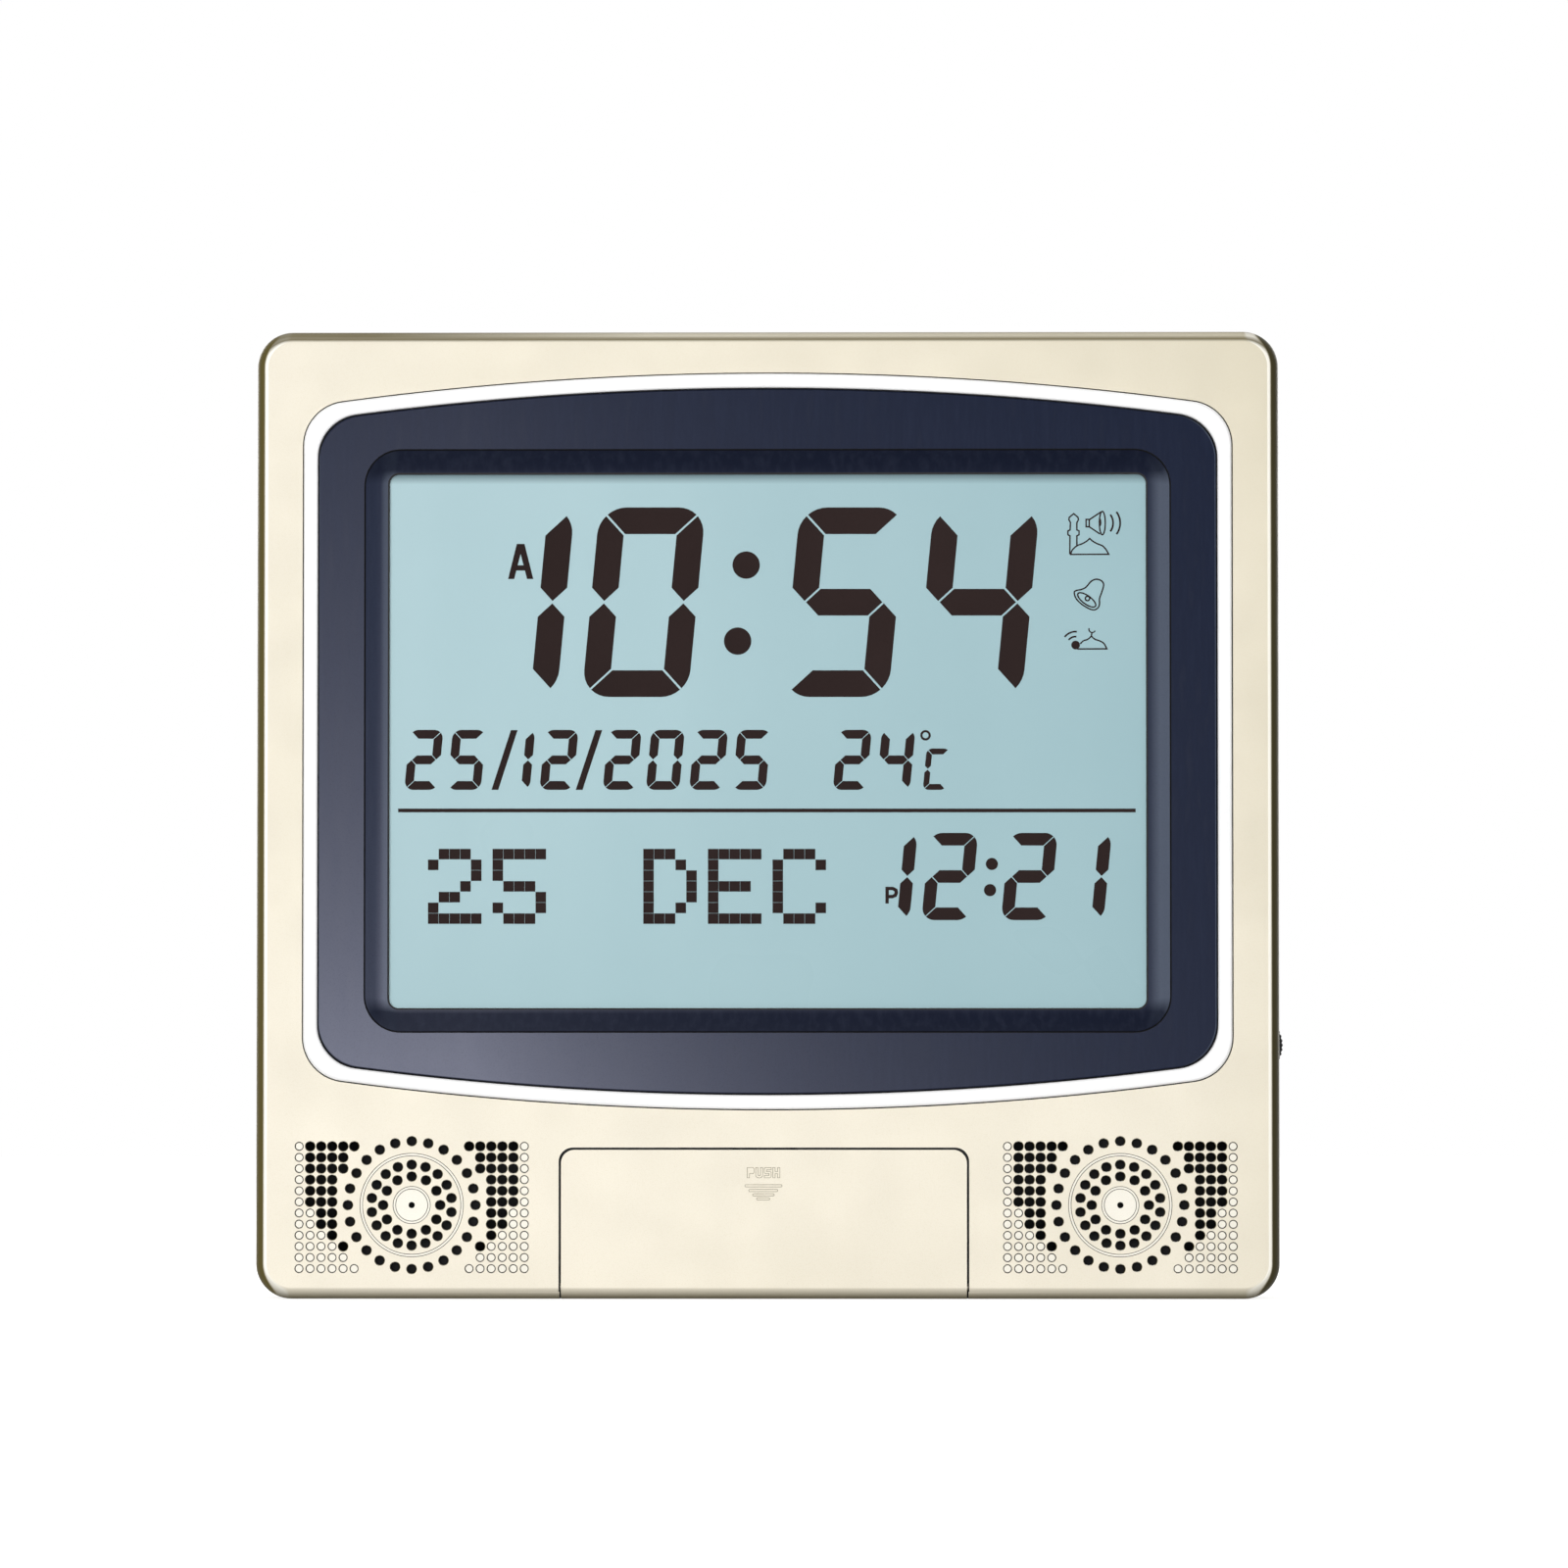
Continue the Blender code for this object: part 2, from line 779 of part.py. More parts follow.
def make_board_parts(materials):
    """Controller under its resin blob, a buffer capacitor and the clock crystal, on the board's back."""
    base_y = board_back_y + fit_gap
    ease = edge_break
    blob = (
        (blob_radius, base_y),
        (blob_radius - ease, base_y + blob_height / 2),
        (blob_radius / 2, base_y + blob_height - ease / 2),
        (blob_radius / 4, base_y + blob_height),
    )
    turned("controller_blob", blob_offset_x, blob_z, blob, round_sides, materials["resin"])
    can = (
        (can_radius, base_y),
        (can_radius, base_y + can_height - ease),
        (can_radius - ease, base_y + can_height),
    )
    turned("capacitor_can", can_x, can_z, can, round_sides, materials["sleeve"])

    def outline_at(inset):
        half_height = crystal_width / 2 - inset
        return rounded_outline(
            crystal_length / 2 - inset,
            crystal_z - half_height,
            crystal_z + half_height,
            half_height - ease / 2,
            3,
            crystal_x,
        )

    eased_plate(
        "crystal_can", outline_at, base_y, base_y + crystal_height, ease / 2, materials["steel"]
    )


def make_screw(name, x, z, seat_y, length, material):
    """A pan-head screw whose head bears on seat_y from behind and whose shank points forwards."""
    head_y = seat_y + fit_gap
    profile = (
        (shank_tip_radius, head_y - length),
        (shank_radius, head_y - length + 2 * shank_radius),
        (shank_radius, head_y),
        (head_radius, head_y),
        (head_radius - head_edge, head_y + head_height),
    )
    return turned(name, x, z, profile, screw_sides, material)


def make_screws(material):
    for number, (x, z) in enumerate(board_screw_places(), 1):
        make_screw(f"board_screw_{number}", x, z, board_back_y, short_screw_length, material)
    cover = mirrored(top_boss_x, top_boss_z) + mirrored(low_boss_x, low_boss_z)
    for number, (x, z) in enumerate(cover, 1):
        make_screw(f"cover_screw_{number}", x, z, counterbore_floor_y, cover_screw_length, material)
    board_far_y = button_board_y + board_thickness
    for number, (x, z) in enumerate(tray_boss_places(), 1):
        make_screw(f"button_board_screw_{number}", x, z, board_far_y, short_screw_length, material)
    make_screw(
        "volume_screw", volume_post_x, volume_post_z, volume_board_back_y, short_screw_length, material
    )


def tray_boss_places():
    return ((door_middle_x - tray_boss_x, tray_boss_z), (door_middle_x + tray_boss_x, tray_boss_z))


def button_places():
    rows = (button_low_row + button_row_pitch, button_low_row)
    return [(door_middle_x + step * button_pitch, z) for z in rows for step in (-1, 0, 1)]


def button_outline(x, z, grow=0.0):
    return rounded_outline(
        button_half_width + grow,
        z - button_half_height - grow,
        z + button_half_height + grow,
        button_radius + grow,
        button_steps,
        x,
    )


def make_control_tray(material):
    """Tray behind the door that closes the opening and guides the buttons."""
    outer = box_outline(tray_half_width, tray_low, tray_high, door_middle_x)
    tray = block("control_tray", outer, flange_y, tray_back_y, material)
    inner = box_outline(
        tray_half_width - tray_wall, tray_low - cut_margin, tray_high - tray_wall, door_middle_x
    )
    cut(tray, block("tray_hollow", inner, front_y, tray_floor_y))
    mesh = bmesh.new()
    for x, z in button_places():
        hole = button_outline(x, z, fit_gap)
        ends = (tray_floor_y - cut_margin, tray_back_y + cut_margin)
        add_skin(mesh, [at_depth(hole, y) for y in ends])
    cut(tray, object_from("button_holes", mesh))
    places = tray_boss_places()
    end_y = button_board_y - fit_gap
    join(tray, rods("tray_bosses", places, tray_back_y - root_overlap, end_y, small_boss_radius))
    pilot = shank_radius + pilot_gap
    floor_y = button_board_y + board_thickness + fit_gap - short_screw_length - pilot_spare
    cut(tray, rods("tray_pilots", places, floor_y, end_y + cut_margin, pilot))
    return tray


def make_buttons(material):
    """Six keys that slide straight back in the tray's holes."""
    for number, (x, z) in enumerate(button_places(), 1):
        rings = [
            at_depth(button_outline(x, z, button_flange), button_back_y),
            at_depth(button_outline(x, z, button_flange), button_flange_y),
            at_depth(button_outline(x, z), button_flange_y),
            at_depth(button_outline(x, z), button_front_y + button_edge),
            at_depth(button_outline(x, z, -button_edge), button_front_y),
        ]
        button = skinned(f"button_{number}", rings, material)
        shade_smooth(button)
        move_origin(button, (x, button_back_y, z))


def make_button_board(material):
    """Board behind the tray with a short-stroke switch behind each key."""
    half = tray_boss_x + small_boss_radius + button_board_margin
    low = button_low_row - switch_half_width - button_board_margin
    high = low + button_row_pitch + 2 * (switch_half_width + button_board_margin)
    outline = box_outline(half, low, high, door_middle_x)
    far_y = button_board_y + board_thickness
    board = block("button_board", outline, button_board_y, far_y, material)
    mesh = bmesh.new()
    for x, z in button_places():
        case = box_outline(switch_half_width, z - switch_half_width, z + switch_half_width, x)
        plunger = box_outline(plunger_half_width, z - plunger_half_width, z + plunger_half_width, x)
        top_y = button_board_y - switch_height
        rings = [
            at_depth(case, button_board_y + root_overlap),
            at_depth(case, top_y),
            at_depth(plunger, top_y),
            at_depth(plunger, plunger_y),
        ]
        add_skin(mesh, rings)
    join(board, object_from("switches", mesh))
    near_y = button_board_y - cut_margin
    holes = rods("button_board_holes", tray_boss_places(), near_y, far_y + cut_margin,
                 shank_radius + pilot_gap)
    cut(board, holes)
    return board


def door_section(x, high):
    """The door's section in Y and Z: a plate that runs into a round barrel at the bottom edge."""
    back_y = front_y + door_thickness
    start = math.pi
    lean = (back_y - barrel_y) / edge_radius
    end = 3 * math.pi - math.acos(lean) - math.pi
    points = [Vector((x, front_y, high))]
    for k in range(barrel_steps + 1):
        a = start + end * k / barrel_steps
        y = barrel_y + edge_radius * math.cos(a)
        points.append(Vector((x, y, barrel_z + edge_radius * math.sin(a))))
    points.append(Vector((x, back_y, high)))
    return points


def make_control_door(material):
    """Door hinged at the bottom front edge, with a snap tab behind its top edge."""
    rings = []
    for side in (-1, 1):
        order = range(door_corner_steps + 1)
        for k in order if side < 0 else reversed(order):
            a = math.pi / 2 * k / door_corner_steps
            reach = door_half_width - door_corner_radius * (1 - math.cos(a))
            rise = door_corner_radius * (1 - math.sin(a))
            rings.append(door_section(door_middle_x + side * reach, door_high - rise))
    door = skinned("control_door", rings, material)
    ends = door_half_width + door_pin_length
    for name, side in (("door_pin_left", -1), ("door_pin_right", 1)):
        places = (side * (door_half_width - cut_margin), side * ends)
        rings = [circle_yz(door_middle_x + x, barrel_y, barrel_z, door_pin_radius, round_sides)
                 for x in places]
        join(door, skinned(name, rings))
    join(door, make_door_tab())
    shade_smooth(door)
    move_origin(door, (door_middle_x, barrel_y, barrel_z))
    return door


def make_door_tab():
    """Springy tab whose nose snaps behind the top edge of the door's opening."""
    root_y = front_y + door_thickness - root_overlap
    tip_y = front_y + door_thickness + tab_length
    nose_y = tip_y - tab_nose
    tab_low = door_high - tab_drop
    top = tab_low + tab_thickness
    section = (
        (root_y, tab_low),
        (tip_y, tab_low),
        (tip_y, top),
        (nose_y + tab_nose / 2, top + tab_nose_rise),
        (nose_y, top + tab_nose_rise),
        (nose_y, top),
        (root_y, top),
    )
    ends = (door_middle_x - tab_half_width, door_middle_x + tab_half_width)
    return skinned("door_tab", [[Vector((x, y, z)) for y, z in section] for x in ends])


def make_speaker(side_name, side, materials):
    """One speaker: pressed frame, paper cone with a dome, and magnet."""
    x = grille_middle_x + side * grille_offset_x
    seat_y = speaker_y
    neck_y = seat_y + speaker_back_depth
    frame = (
        (speaker_flange_radius, seat_y),
        (speaker_flange_radius, seat_y + speaker_flange_thickness),
        (speaker_cone_radius + speaker_metal, seat_y + speaker_flange_thickness),
        (speaker_neck_radius + speaker_metal, neck_y),
        (speaker_neck_radius - speaker_metal, neck_y),
        (speaker_neck_radius - speaker_metal, neck_y - speaker_metal),
        (speaker_cone_radius, seat_y + speaker_metal),
        (speaker_cone_radius, seat_y),
    )
    turned(f"speaker_frame_{side_name}", x, grille_z, frame, speaker_sides,
           materials["steel"], looped=True)
    throat_y = seat_y + cone_depth
    cone_rim_radius = speaker_cone_radius - cone_clearance
    cone = (
        (cone_throat_radius / 2, throat_y + cone_thickness - dome_rise / 2),
        (cone_throat_radius, throat_y + cone_thickness),
        (cone_rim_radius, seat_y + cone_thickness),
        (cone_rim_radius, seat_y),
        (cone_throat_radius, throat_y),
        (cone_throat_radius / 2, throat_y - dome_rise),
    )
    turned(f"speaker_cone_{side_name}", x, grille_z, cone, speaker_sides, materials["paper"])
    magnet_radius = speaker_neck_radius + magnet_overhang
    magnet = (
        (speaker_neck_radius - magnet_pole_inset, neck_y + fit_gap),
        (magnet_radius, neck_y + fit_gap),
        (magnet_radius, neck_y + magnet_depth - magnet_edge),
        (magnet_radius - magnet_edge, neck_y + magnet_depth),
    )
    turned(f"speaker_magnet_{side_name}", x, grille_z, magnet, speaker_sides, materials["magnet"])


def make_volume_wheel(material):
    """Ridged thumb wheel that stands a little out of the right side."""
    mesh = bmesh.new()

    def ridged(radius, y):
        points = []
        for k in range(2 * wheel_ridges):
            a = math.pi * k / wheel_ridges
            reach = radius - (wheel_ridge_depth if k % 2 else 0.0)
            points.append(Vector((wheel_x + reach * math.cos(a), y, wheel_z + reach * math.sin(a))))
        return points

    add_skin(mesh, [ridged(wheel_radius, wheel_front_y), ridged(wheel_radius, wheel_back_y)])
    wheel = object_from("volume_wheel", mesh, material)
    shaft = rods("wheel_shaft", ((wheel_x, wheel_z),), wheel_back_y - root_overlap, shaft_end_y,
                 wheel_shaft_radius)
    join(wheel, shaft)
    move_origin(wheel, (wheel_x, wheel_back_y, wheel_z))
    return wheel


def make_volume_control(material):
    """Rotary control that carries the wheel on its shaft."""
    inner_x = wheel_x - control_inner_reach
    half = (side_wall_x - inner_x) / 2
    middle = (side_wall_x + inner_x) / 2
    outline = rounded_outline(
        half, wheel_z - control_half_height, wheel_z + control_half_height,
        control_corner_radius, 2, middle,
    )
    control = block("volume_control", outline, control_y, control_back_y, material)
    bore = rods("control_bore", ((wheel_x, wheel_z),), control_y - cut_margin,
                shaft_end_y + fit_gap, wheel_shaft_radius + fit_gap)
    cut(control, bore)
    return control


def make_volume_board(material):
    """Small stepped board that carries the rotary control."""
    reach = small_boss_radius + volume_board_margin
    inner_x = volume_post_x - reach
    neck_x = low_boss_x - column_radius - 2 * fit_gap
    low = volume_post_z - reach
    step = low_boss_z + column_radius + 2 * fit_gap
    high = wheel_z + volume_board_rise
    outline = (
        (side_wall_x, step),
        (side_wall_x, high),
        (inner_x, high),
        (inner_x, low),
        (neck_x, low),
        (neck_x, step),
    )
    board = block("volume_board", outline, volume_board_y, volume_board_back_y, material)
    hole = rods("volume_board_hole", ((volume_post_x, volume_post_z),), volume_board_y - cut_margin,
                volume_board_back_y + cut_margin, shank_radius + pilot_gap)
    cut(board, hole)
    return board


def compartment_outline(grow):
    half_height = compartment_half_height + grow
    return box_outline(compartment_half_length + grow, battery_z - half_height, battery_z + half_height)


def make_rear_cover(material):
    """Rear half of the housing with the battery compartment, the stand's recess and two hanging holes."""
    tongue = wall + fit_gap
    inner = tongue + tongue_wall
    tip_y = parting_y - tongue_reach
    seam_y = parting_y + fit_gap
    rings = [
        at_depth(housing_outline(wall), inner_back_y),
        at_depth(housing_outline(wall), seam_y + tongue_root + tongue_slope),
        at_depth(housing_outline(inner), seam_y + tongue_root),
        at_depth(housing_outline(inner), tip_y),
        at_depth(housing_outline(tongue), tip_y),
        at_depth(housing_outline(tongue), seam_y),
        at_depth(housing_outline(0.0), seam_y),
    ]
    rings += [at_depth(housing_outline(i), back_y - y) for i, y in reversed(edge_rounding())]
    cover = skinned("rear_cover", rings, material)
    add_battery_compartment(cover)
    add_stand_recess(cover)
    add_screw_columns(cover)
    add_hanging_holes(cover)
    shade_smooth(cover)
    return cover


def add_battery_compartment(cover):
    slim = compartment_outline(compartment_wall)
    rim = compartment_outline(rim_reach)
    rebate_y = back_y - rebate_depth
    rings = [
        at_depth(slim, compartment_floor_y - compartment_wall),
        at_depth(slim, rebate_y - rim_depth - rim_slope),
        at_depth(rim, rebate_y - rim_depth),
        at_depth(rim, inner_back_y + root_overlap),
    ]
    join(cover, skinned("compartment_box", rings))
    far_y = back_y + cut_margin
    cut(cover, block("compartment_cut", compartment_outline(0.0), compartment_floor_y, far_y))
    cut(cover, block("rebate_cut", compartment_outline(rebate_width), rebate_y, far_y))


def recess_outline(grow):
    return box_outline(leg_half_width + recess_clearance + grow, recess_low - grow, recess_high + grow)


def add_stand_recess(cover):
    box = block("recess_box", recess_outline(recess_wall), recess_y - recess_floor,
                inner_back_y + root_overlap)
    join(cover, box)
    cut(cover, block("recess_cut", recess_outline(0.0), recess_y, back_y + cut_margin))
    reach = leg_half_width + leg_pin_length + fit_gap
    rings = [circle_yz(x, leg_axis_y, leg_axis_z, leg_pin_radius + fit_gap, round_sides)
             for x in (-reach, reach)]
    cut(cover, skinned("leg_pin_cut", rings))


def add_screw_columns(cover):
    places = mirrored(top_boss_x, top_boss_z) + mirrored(low_boss_x, low_boss_z)
    near_y = boss_end_y + fit_gap
    join(cover, rods("cover_columns", places, near_y, inner_back_y + root_overlap, column_radius))
    far_y = back_y + cut_margin
    cut(cover, rods("cover_holes", places, near_y - cut_margin, far_y, shank_radius + pilot_gap))
    wide = head_radius + fit_gap
    cut(cover, rods("counterbores", places, counterbore_floor_y, far_y, wide, counterbore_sides))


def add_hanging_holes(cover):
    near_y = inner_back_y - cut_margin
    far_y = back_y + cut_margin
    places = mirrored(keyhole_x, keyhole_z)
    mesh = bmesh.new()
    for x, z in places:
        slot = box_outline(keyhole_slot_half_width, z, z + keyhole_slot_length, x)
        add_skin(mesh, [at_depth(slot, y) for y in (near_y, far_y)])
    cut(cover, object_from("keyhole_slots", mesh))
    cut(cover, rods("keyhole_drills", places, near_y, far_y, keyhole_radius, keyhole_sides))


def make_battery_door(material):
    """Cover plate of the battery compartment, with thumb grooves across its lower end."""
    def outline_at(inset):
        return compartment_outline(rebate_width - fit_gap - inset)

    near_y = back_y - battery_door_thickness
    door = eased_plate("battery_door", outline_at, near_y, back_y, fit_gap, material)
    mesh = bmesh.new()
    for k in range(thumb_grooves):
        z = battery_z - thumb_groove_drop + thumb_groove_pitch * k
        groove = box_outline(thumb_groove_half_width, z, z + thumb_groove_height)
        ends = (back_y - thumb_groove_depth, back_y + cut_margin)
        add_skin(mesh, [at_depth(groove, y) for y in ends])
    cut(door, object_from("thumb_grooves", mesh))
    return door


def make_batteries(material):
    """Two cells laid side by side, facing opposite ways."""
    for number, side in ((1, 1), (2, -1)):
        z = battery_z + side * cell_spacing / 2
        half = cell_length / 2
        profile = (
            (cell_radius - cell_edge, -half),
            (cell_radius, -half + cell_edge),
            (cell_radius, half - nub_length - cell_edge),
            (cell_radius - cell_edge, half - nub_length),
            (nub_radius, half - nub_length),
            (nub_radius, half),
        )
        rings = [circle_yz(side * x, cell_y, z, radius, cell_sides) for radius, x in profile]
        cell = skinned(f"battery_{number}", rings, material)
        shade_smooth(cell)


def make_contact_leaf(name, side, low, high, material):
    """A sprung contact strip on one end wall of the compartment, bulging towards the cells."""
    wall_x = compartment_half_length - leaf_base
    face_x = wall_x - leaf_thickness
    front = (
        (wall_x, cell_y - leaf_half_span),
        (wall_x, cell_y - leaf_half_flat),
        (wall_x - leaf_bulge, cell_y),
        (wall_x, cell_y + leaf_half_flat),
        (wall_x, cell_y + leaf_half_span),
    )
    back = (
        (face_x, cell_y + leaf_half_span),
        (face_x, cell_y + leaf_half_flat - leaf_thickness),
        (face_x - leaf_bulge, cell_y),
        (face_x, cell_y - leaf_half_flat + leaf_thickness),
        (face_x, cell_y - leaf_half_span),
    )
    rings = [[Vector((side * x, y, z)) for x, y in front + back] for z in (low, high)]
    return skinned(name, rings, material)


def make_contacts(material):
    upper = battery_z + cell_spacing / 2
    lower = battery_z - cell_spacing / 2
    make_contact_leaf("contact_bridge", -1, lower - leaf_half_width, upper + leaf_half_width, material)
    make_contact_leaf("contact_plus", 1, upper - leaf_half_width, upper + leaf_half_width, material)
    make_contact_leaf("contact_minus", 1, lower - leaf_half_width, lower + leaf_half_width, material)


def leg_section(x, low):
    """The leg's section in Y and Z, round at its hinged top end."""
    radius = leg_thickness / 2
    points = [Vector((x, leg_axis_y - radius, low)), Vector((x, leg_axis_y + radius, low))]
    for k in range(leg_end_steps + 1):
        a = math.pi * k / leg_end_steps
        y = leg_axis_y + radius * math.cos(a)
        points.append(Vector((x, y, leg_axis_z + radius * math.sin(a))))
    return points


def make_stand_leg(material):
    """Flat leg that folds out of the back about pins at its top."""
    rings = []
    for x, rise in (
        (-leg_half_width, leg_foot_inset),
        (-leg_half_width + leg_foot_inset, 0.0),
        (leg_half_width - leg_foot_inset, 0.0),
        (leg_half_width, leg_foot_inset),
    ):
        rings.append(leg_section(x, leg_low + rise))
    leg = skinned("stand_leg", rings, material)
    reach = leg_half_width + leg_pin_length
    for name, side in (("leg_pin_left", -1), ("leg_pin_right", 1)):
        places = (side * (leg_half_width - cut_margin), side * reach)
        rings = [circle_yz(x, leg_axis_y, leg_axis_z, leg_pin_radius, round_sides) for x in places]
        join(leg, skinned(name, rings))
    shade_smooth(leg)
    move_origin(leg, (0.0, leg_axis_y, leg_axis_z))
    return leg


def make_materials():
    return {
        "champagne": plain_material("champagne_paint", (0.80, 0.74, 0.60), 0.35, 0.3),
        "white": plain_material("white_paint", (0.90, 0.90, 0.89), 0.30, 0.0),
        "navy": plain_material("navy_plastic", (0.030, 0.036, 0.060), 0.30, 0.0),
        "lcd": plain_material("lcd_glass", (0.42, 0.60, 0.64), 0.15, 0.0),
        "reflector": plain_material("reflector_white", (0.80, 0.82, 0.82), 0.50, 0.0),
        "elastomer": plain_material("elastomer", (0.10, 0.10, 0.12), 0.70, 0.0),
        "board": plain_material("circuit_board", (0.03, 0.18, 0.08), 0.45, 0.0),
        "resin": plain_material("black_resin", (0.02, 0.02, 0.02), 0.30, 0.0),
        "sleeve": plain_material("capacitor_sleeve", (0.03, 0.05, 0.14), 0.40, 0.0),
        "steel": plain_material("zinc_steel", (0.62, 0.62, 0.60), 0.35, 1.0),
        "tray": plain_material("tray_plastic", (0.16, 0.16, 0.15), 0.50, 0.0),
        "button": plain_material("button_plastic", (0.70, 0.68, 0.60), 0.45, 0.0),
        "paper": plain_material("cone_paper", (0.015, 0.015, 0.015), 0.80, 0.0),
        "magnet": plain_material("magnet_ferrite", (0.06, 0.06, 0.06), 0.60, 0.2),
        "black": plain_material("black_plastic", (0.02, 0.02, 0.02), 0.45, 0.0),
        "rear": plain_material("rear_plastic", (0.62, 0.57, 0.46), 0.45, 0.0),
        "cell": plain_material("cell_jacket", (0.05, 0.12, 0.30), 0.35, 0.3),
        "contact": plain_material("nickel_contact", (0.72, 0.70, 0.66), 0.25, 1.0),
    }


def main():
    clear_scene()
    materials = make_materials()
    make_front_shell(materials["champagne"])
    make_accent_ring(materials["white"])
    make_display_frame(materials["navy"])
    make_lcd_panel(materials["lcd"])
    make_lcd_reflector(materials["reflector"])
    make_contact_strips(materials["elastomer"])
    make_main_board(materials["board"])
    make_board_parts(materials)
    make_control_tray(materials["tray"])
    make_buttons(materials["button"])
    make_button_board(materials["board"])
    make_control_door(materials["champagne"])
    make_speaker("left", -1, materials)
    make_speaker("right", 1, materials)
    make_volume_wheel(materials["black"])
    make_volume_control(materials["black"])
    make_volume_board(materials["board"])
    make_rear_cover(materials["rear"])
    make_battery_door(materials["rear"])
    make_batteries(materials["cell"])
    make_contacts(materials["contact"])
    make_stand_leg(materials["rear"])
    make_screws(materials["steel"])


main()
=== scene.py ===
"""The looks of the azan clock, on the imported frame.

X is the clock's width, Y its depth (the front faces -Y), Z its height. The origin is the middle
of the flat bottom. Lengths are in metres, colours have values from 0 to 255, and places on the
photograph are in its pixels.
"""

from math import acos, asin, atan2, cos, degrees, pi, radians, sin, sqrt

import bmesh
import bpy
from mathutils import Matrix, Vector, geometry


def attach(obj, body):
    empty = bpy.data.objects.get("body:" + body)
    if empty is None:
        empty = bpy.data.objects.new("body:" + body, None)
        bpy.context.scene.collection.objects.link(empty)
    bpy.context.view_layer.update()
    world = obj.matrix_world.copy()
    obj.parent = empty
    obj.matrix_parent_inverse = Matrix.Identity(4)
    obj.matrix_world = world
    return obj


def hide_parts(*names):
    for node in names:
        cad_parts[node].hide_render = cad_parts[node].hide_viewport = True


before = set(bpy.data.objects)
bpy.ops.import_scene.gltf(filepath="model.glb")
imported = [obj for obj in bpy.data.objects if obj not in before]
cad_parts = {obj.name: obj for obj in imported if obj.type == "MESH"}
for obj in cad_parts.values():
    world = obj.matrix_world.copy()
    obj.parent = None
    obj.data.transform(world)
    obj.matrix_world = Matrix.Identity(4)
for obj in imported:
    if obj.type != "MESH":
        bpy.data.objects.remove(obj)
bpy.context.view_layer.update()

# Housing
body_width = 0.260
body_height = 0.246
half_width = body_width / 2
front_y = -0.017
back_y = 0.017
parting_y = 0.003
wall = 0.0022
inner_front_y = front_y + wall
inner_back_y = back_y - wall
corner_radius = 0.009
corner_steps = 14
edge_radius = 0.003
edge_steps = 8
mid_edge = 0.3  # the share of a small rounded edge at which its middle point lies
smooth_limit = 35
fit_gap = 0.0003
overrun = 0.002
overlap = 0.0005

# Ring, frame and display
ring_half_width = 0.118
ring_low = 0.0481
ring_high = 0.2352
ring_bow_radius = 0.818
ring_corner_radius = 0.015
band_corner_radius = 0.0112
bow_steps = 40
ring_band = 0.0036
ring_top_y = -0.0178
ring_edge = 0.0006
ring_edge_steps = 4
ring_smooth_limit = 50
frame_inset = 0.0039
fascia_y = -0.0174
fascia_edge = 0.0004
bevel_half_width = 0.1022
bevel_low = 0.0679
bevel_high = 0.2156
bevel_corner_radius = 0.0090
crease_width = 0.0004
crease_depth = 0.0004
lip_start = 0.925
cove_start = 0.87
cove_steps = 10
sight_half_width = 0.0963
sight_low = 0.0738
sight_high = 0.2097
sight_corner_radius = 0.0024
sight_y = -0.0144
pocket_y = -0.0138
pocket_back_y = -0.0092
pocket_margin = 0.0045
pocket_corner_radius = 0.0008
pocket_rib = 0.0016
flange_reach = 0.003
flange_y = -0.0145
flange_back_y = -0.0127
glass_y = -0.0135
mark_rise = 0.00003
mark_sink = 0.00001

# Door
door_x = -0.0009
door_half_width = 0.0515
door_high = 0.0378
door_seam = 0.0004
seam_flare = 0.0002
seam_flare_depth = 0.00025
door_corner_radius = 0.0034
door_thickness = 0.0018
door_back_y = front_y + door_thickness
door_axis = (-0.014, 0.003)
barrel_steps = 28
pin_radius = 0.001
pin_length = 0.0023
lug_side = 0.0521
lug_thickness = 0.0019
lug_reach = 0.0042
tab_half_width = 0.008
tab_low = 0.0356
tab_thickness = 0.0013
tab_length = 0.0027
tab_nose = 0.0014
tab_nose_rise = 0.0018
push_rise = 0.00008
push_sink = 0.00004

# Grilles
grille_x = -0.0004
grille_offset_x = 0.0899
grille_z = 0.0238
hole_radius = 0.0012
hole_sides = 20
chamfer = 0.00015
dimple_radius = 0.00115
dimple_floor_radius = 0.00088
dimple_depth = 0.0003
centre_hole_radius = 0.0008
hole_pitch = 0.0028
row_pitch = 0.00282
outer_column = 0.0286
top_row = 0.0149
hole_rings = ((24, 0.0162), (18, 0.01025), (12, 0.00725))
block_rows = (
    "o#####", "o####", "o####", "o###", "o###", "o###",
    "oo##", "oo##", "ooo#", "oooo#", "ooooo", "oooooo",
)
channels = ((0.0124, 0.0132), (0.0040, 0.0048))
channel_depth = 0.0002
channel_slope = 0.00016
disc_depth = 0.00004
channel_sides = 96

# Bosses and screws
cover_bosses = ((0.1205, 0.2365), (-0.1205, 0.2365), (0.1224, 0.0481), (-0.1224, 0.0481))
board_bosses = ((0.1059, 0.0838), (-0.1059, 0.0838), (0.1059, 0.1997), (-0.1059, 0.1997))
tray_bosses = ((door_x - 0.045685, 0.022), (door_x + 0.045685, 0.022))
volume_post = (0.1136, 0.0481)
boss_end_y = 0.0015
boss_radius = 0.0032
small_boss_radius = 0.0028
pilot_radius = 0.0015
column_radius = 0.0034
counterbore_y = 0.008
counterbore_radius = 0.0028
round_sides = 28
cover_pilot_y = -0.0057
volume_pilot_y = -0.0061
frame_pilot_y = -0.014
tray_pilot_y = -0.0075
shank_radius = 0.0012
screw_tip = (0.0006, 0.0024)
screw_head = (
    (0.0025, 0.0), (0.0025, 0.0008), (0.0023, 0.00122), (0.0018, 0.00142), (0.0012, 0.0015)
)
screw_sides = 32
cross_arms = ((0.0013, 0.00033), (0.00033, 0.0013))
cross_taper = 0.6
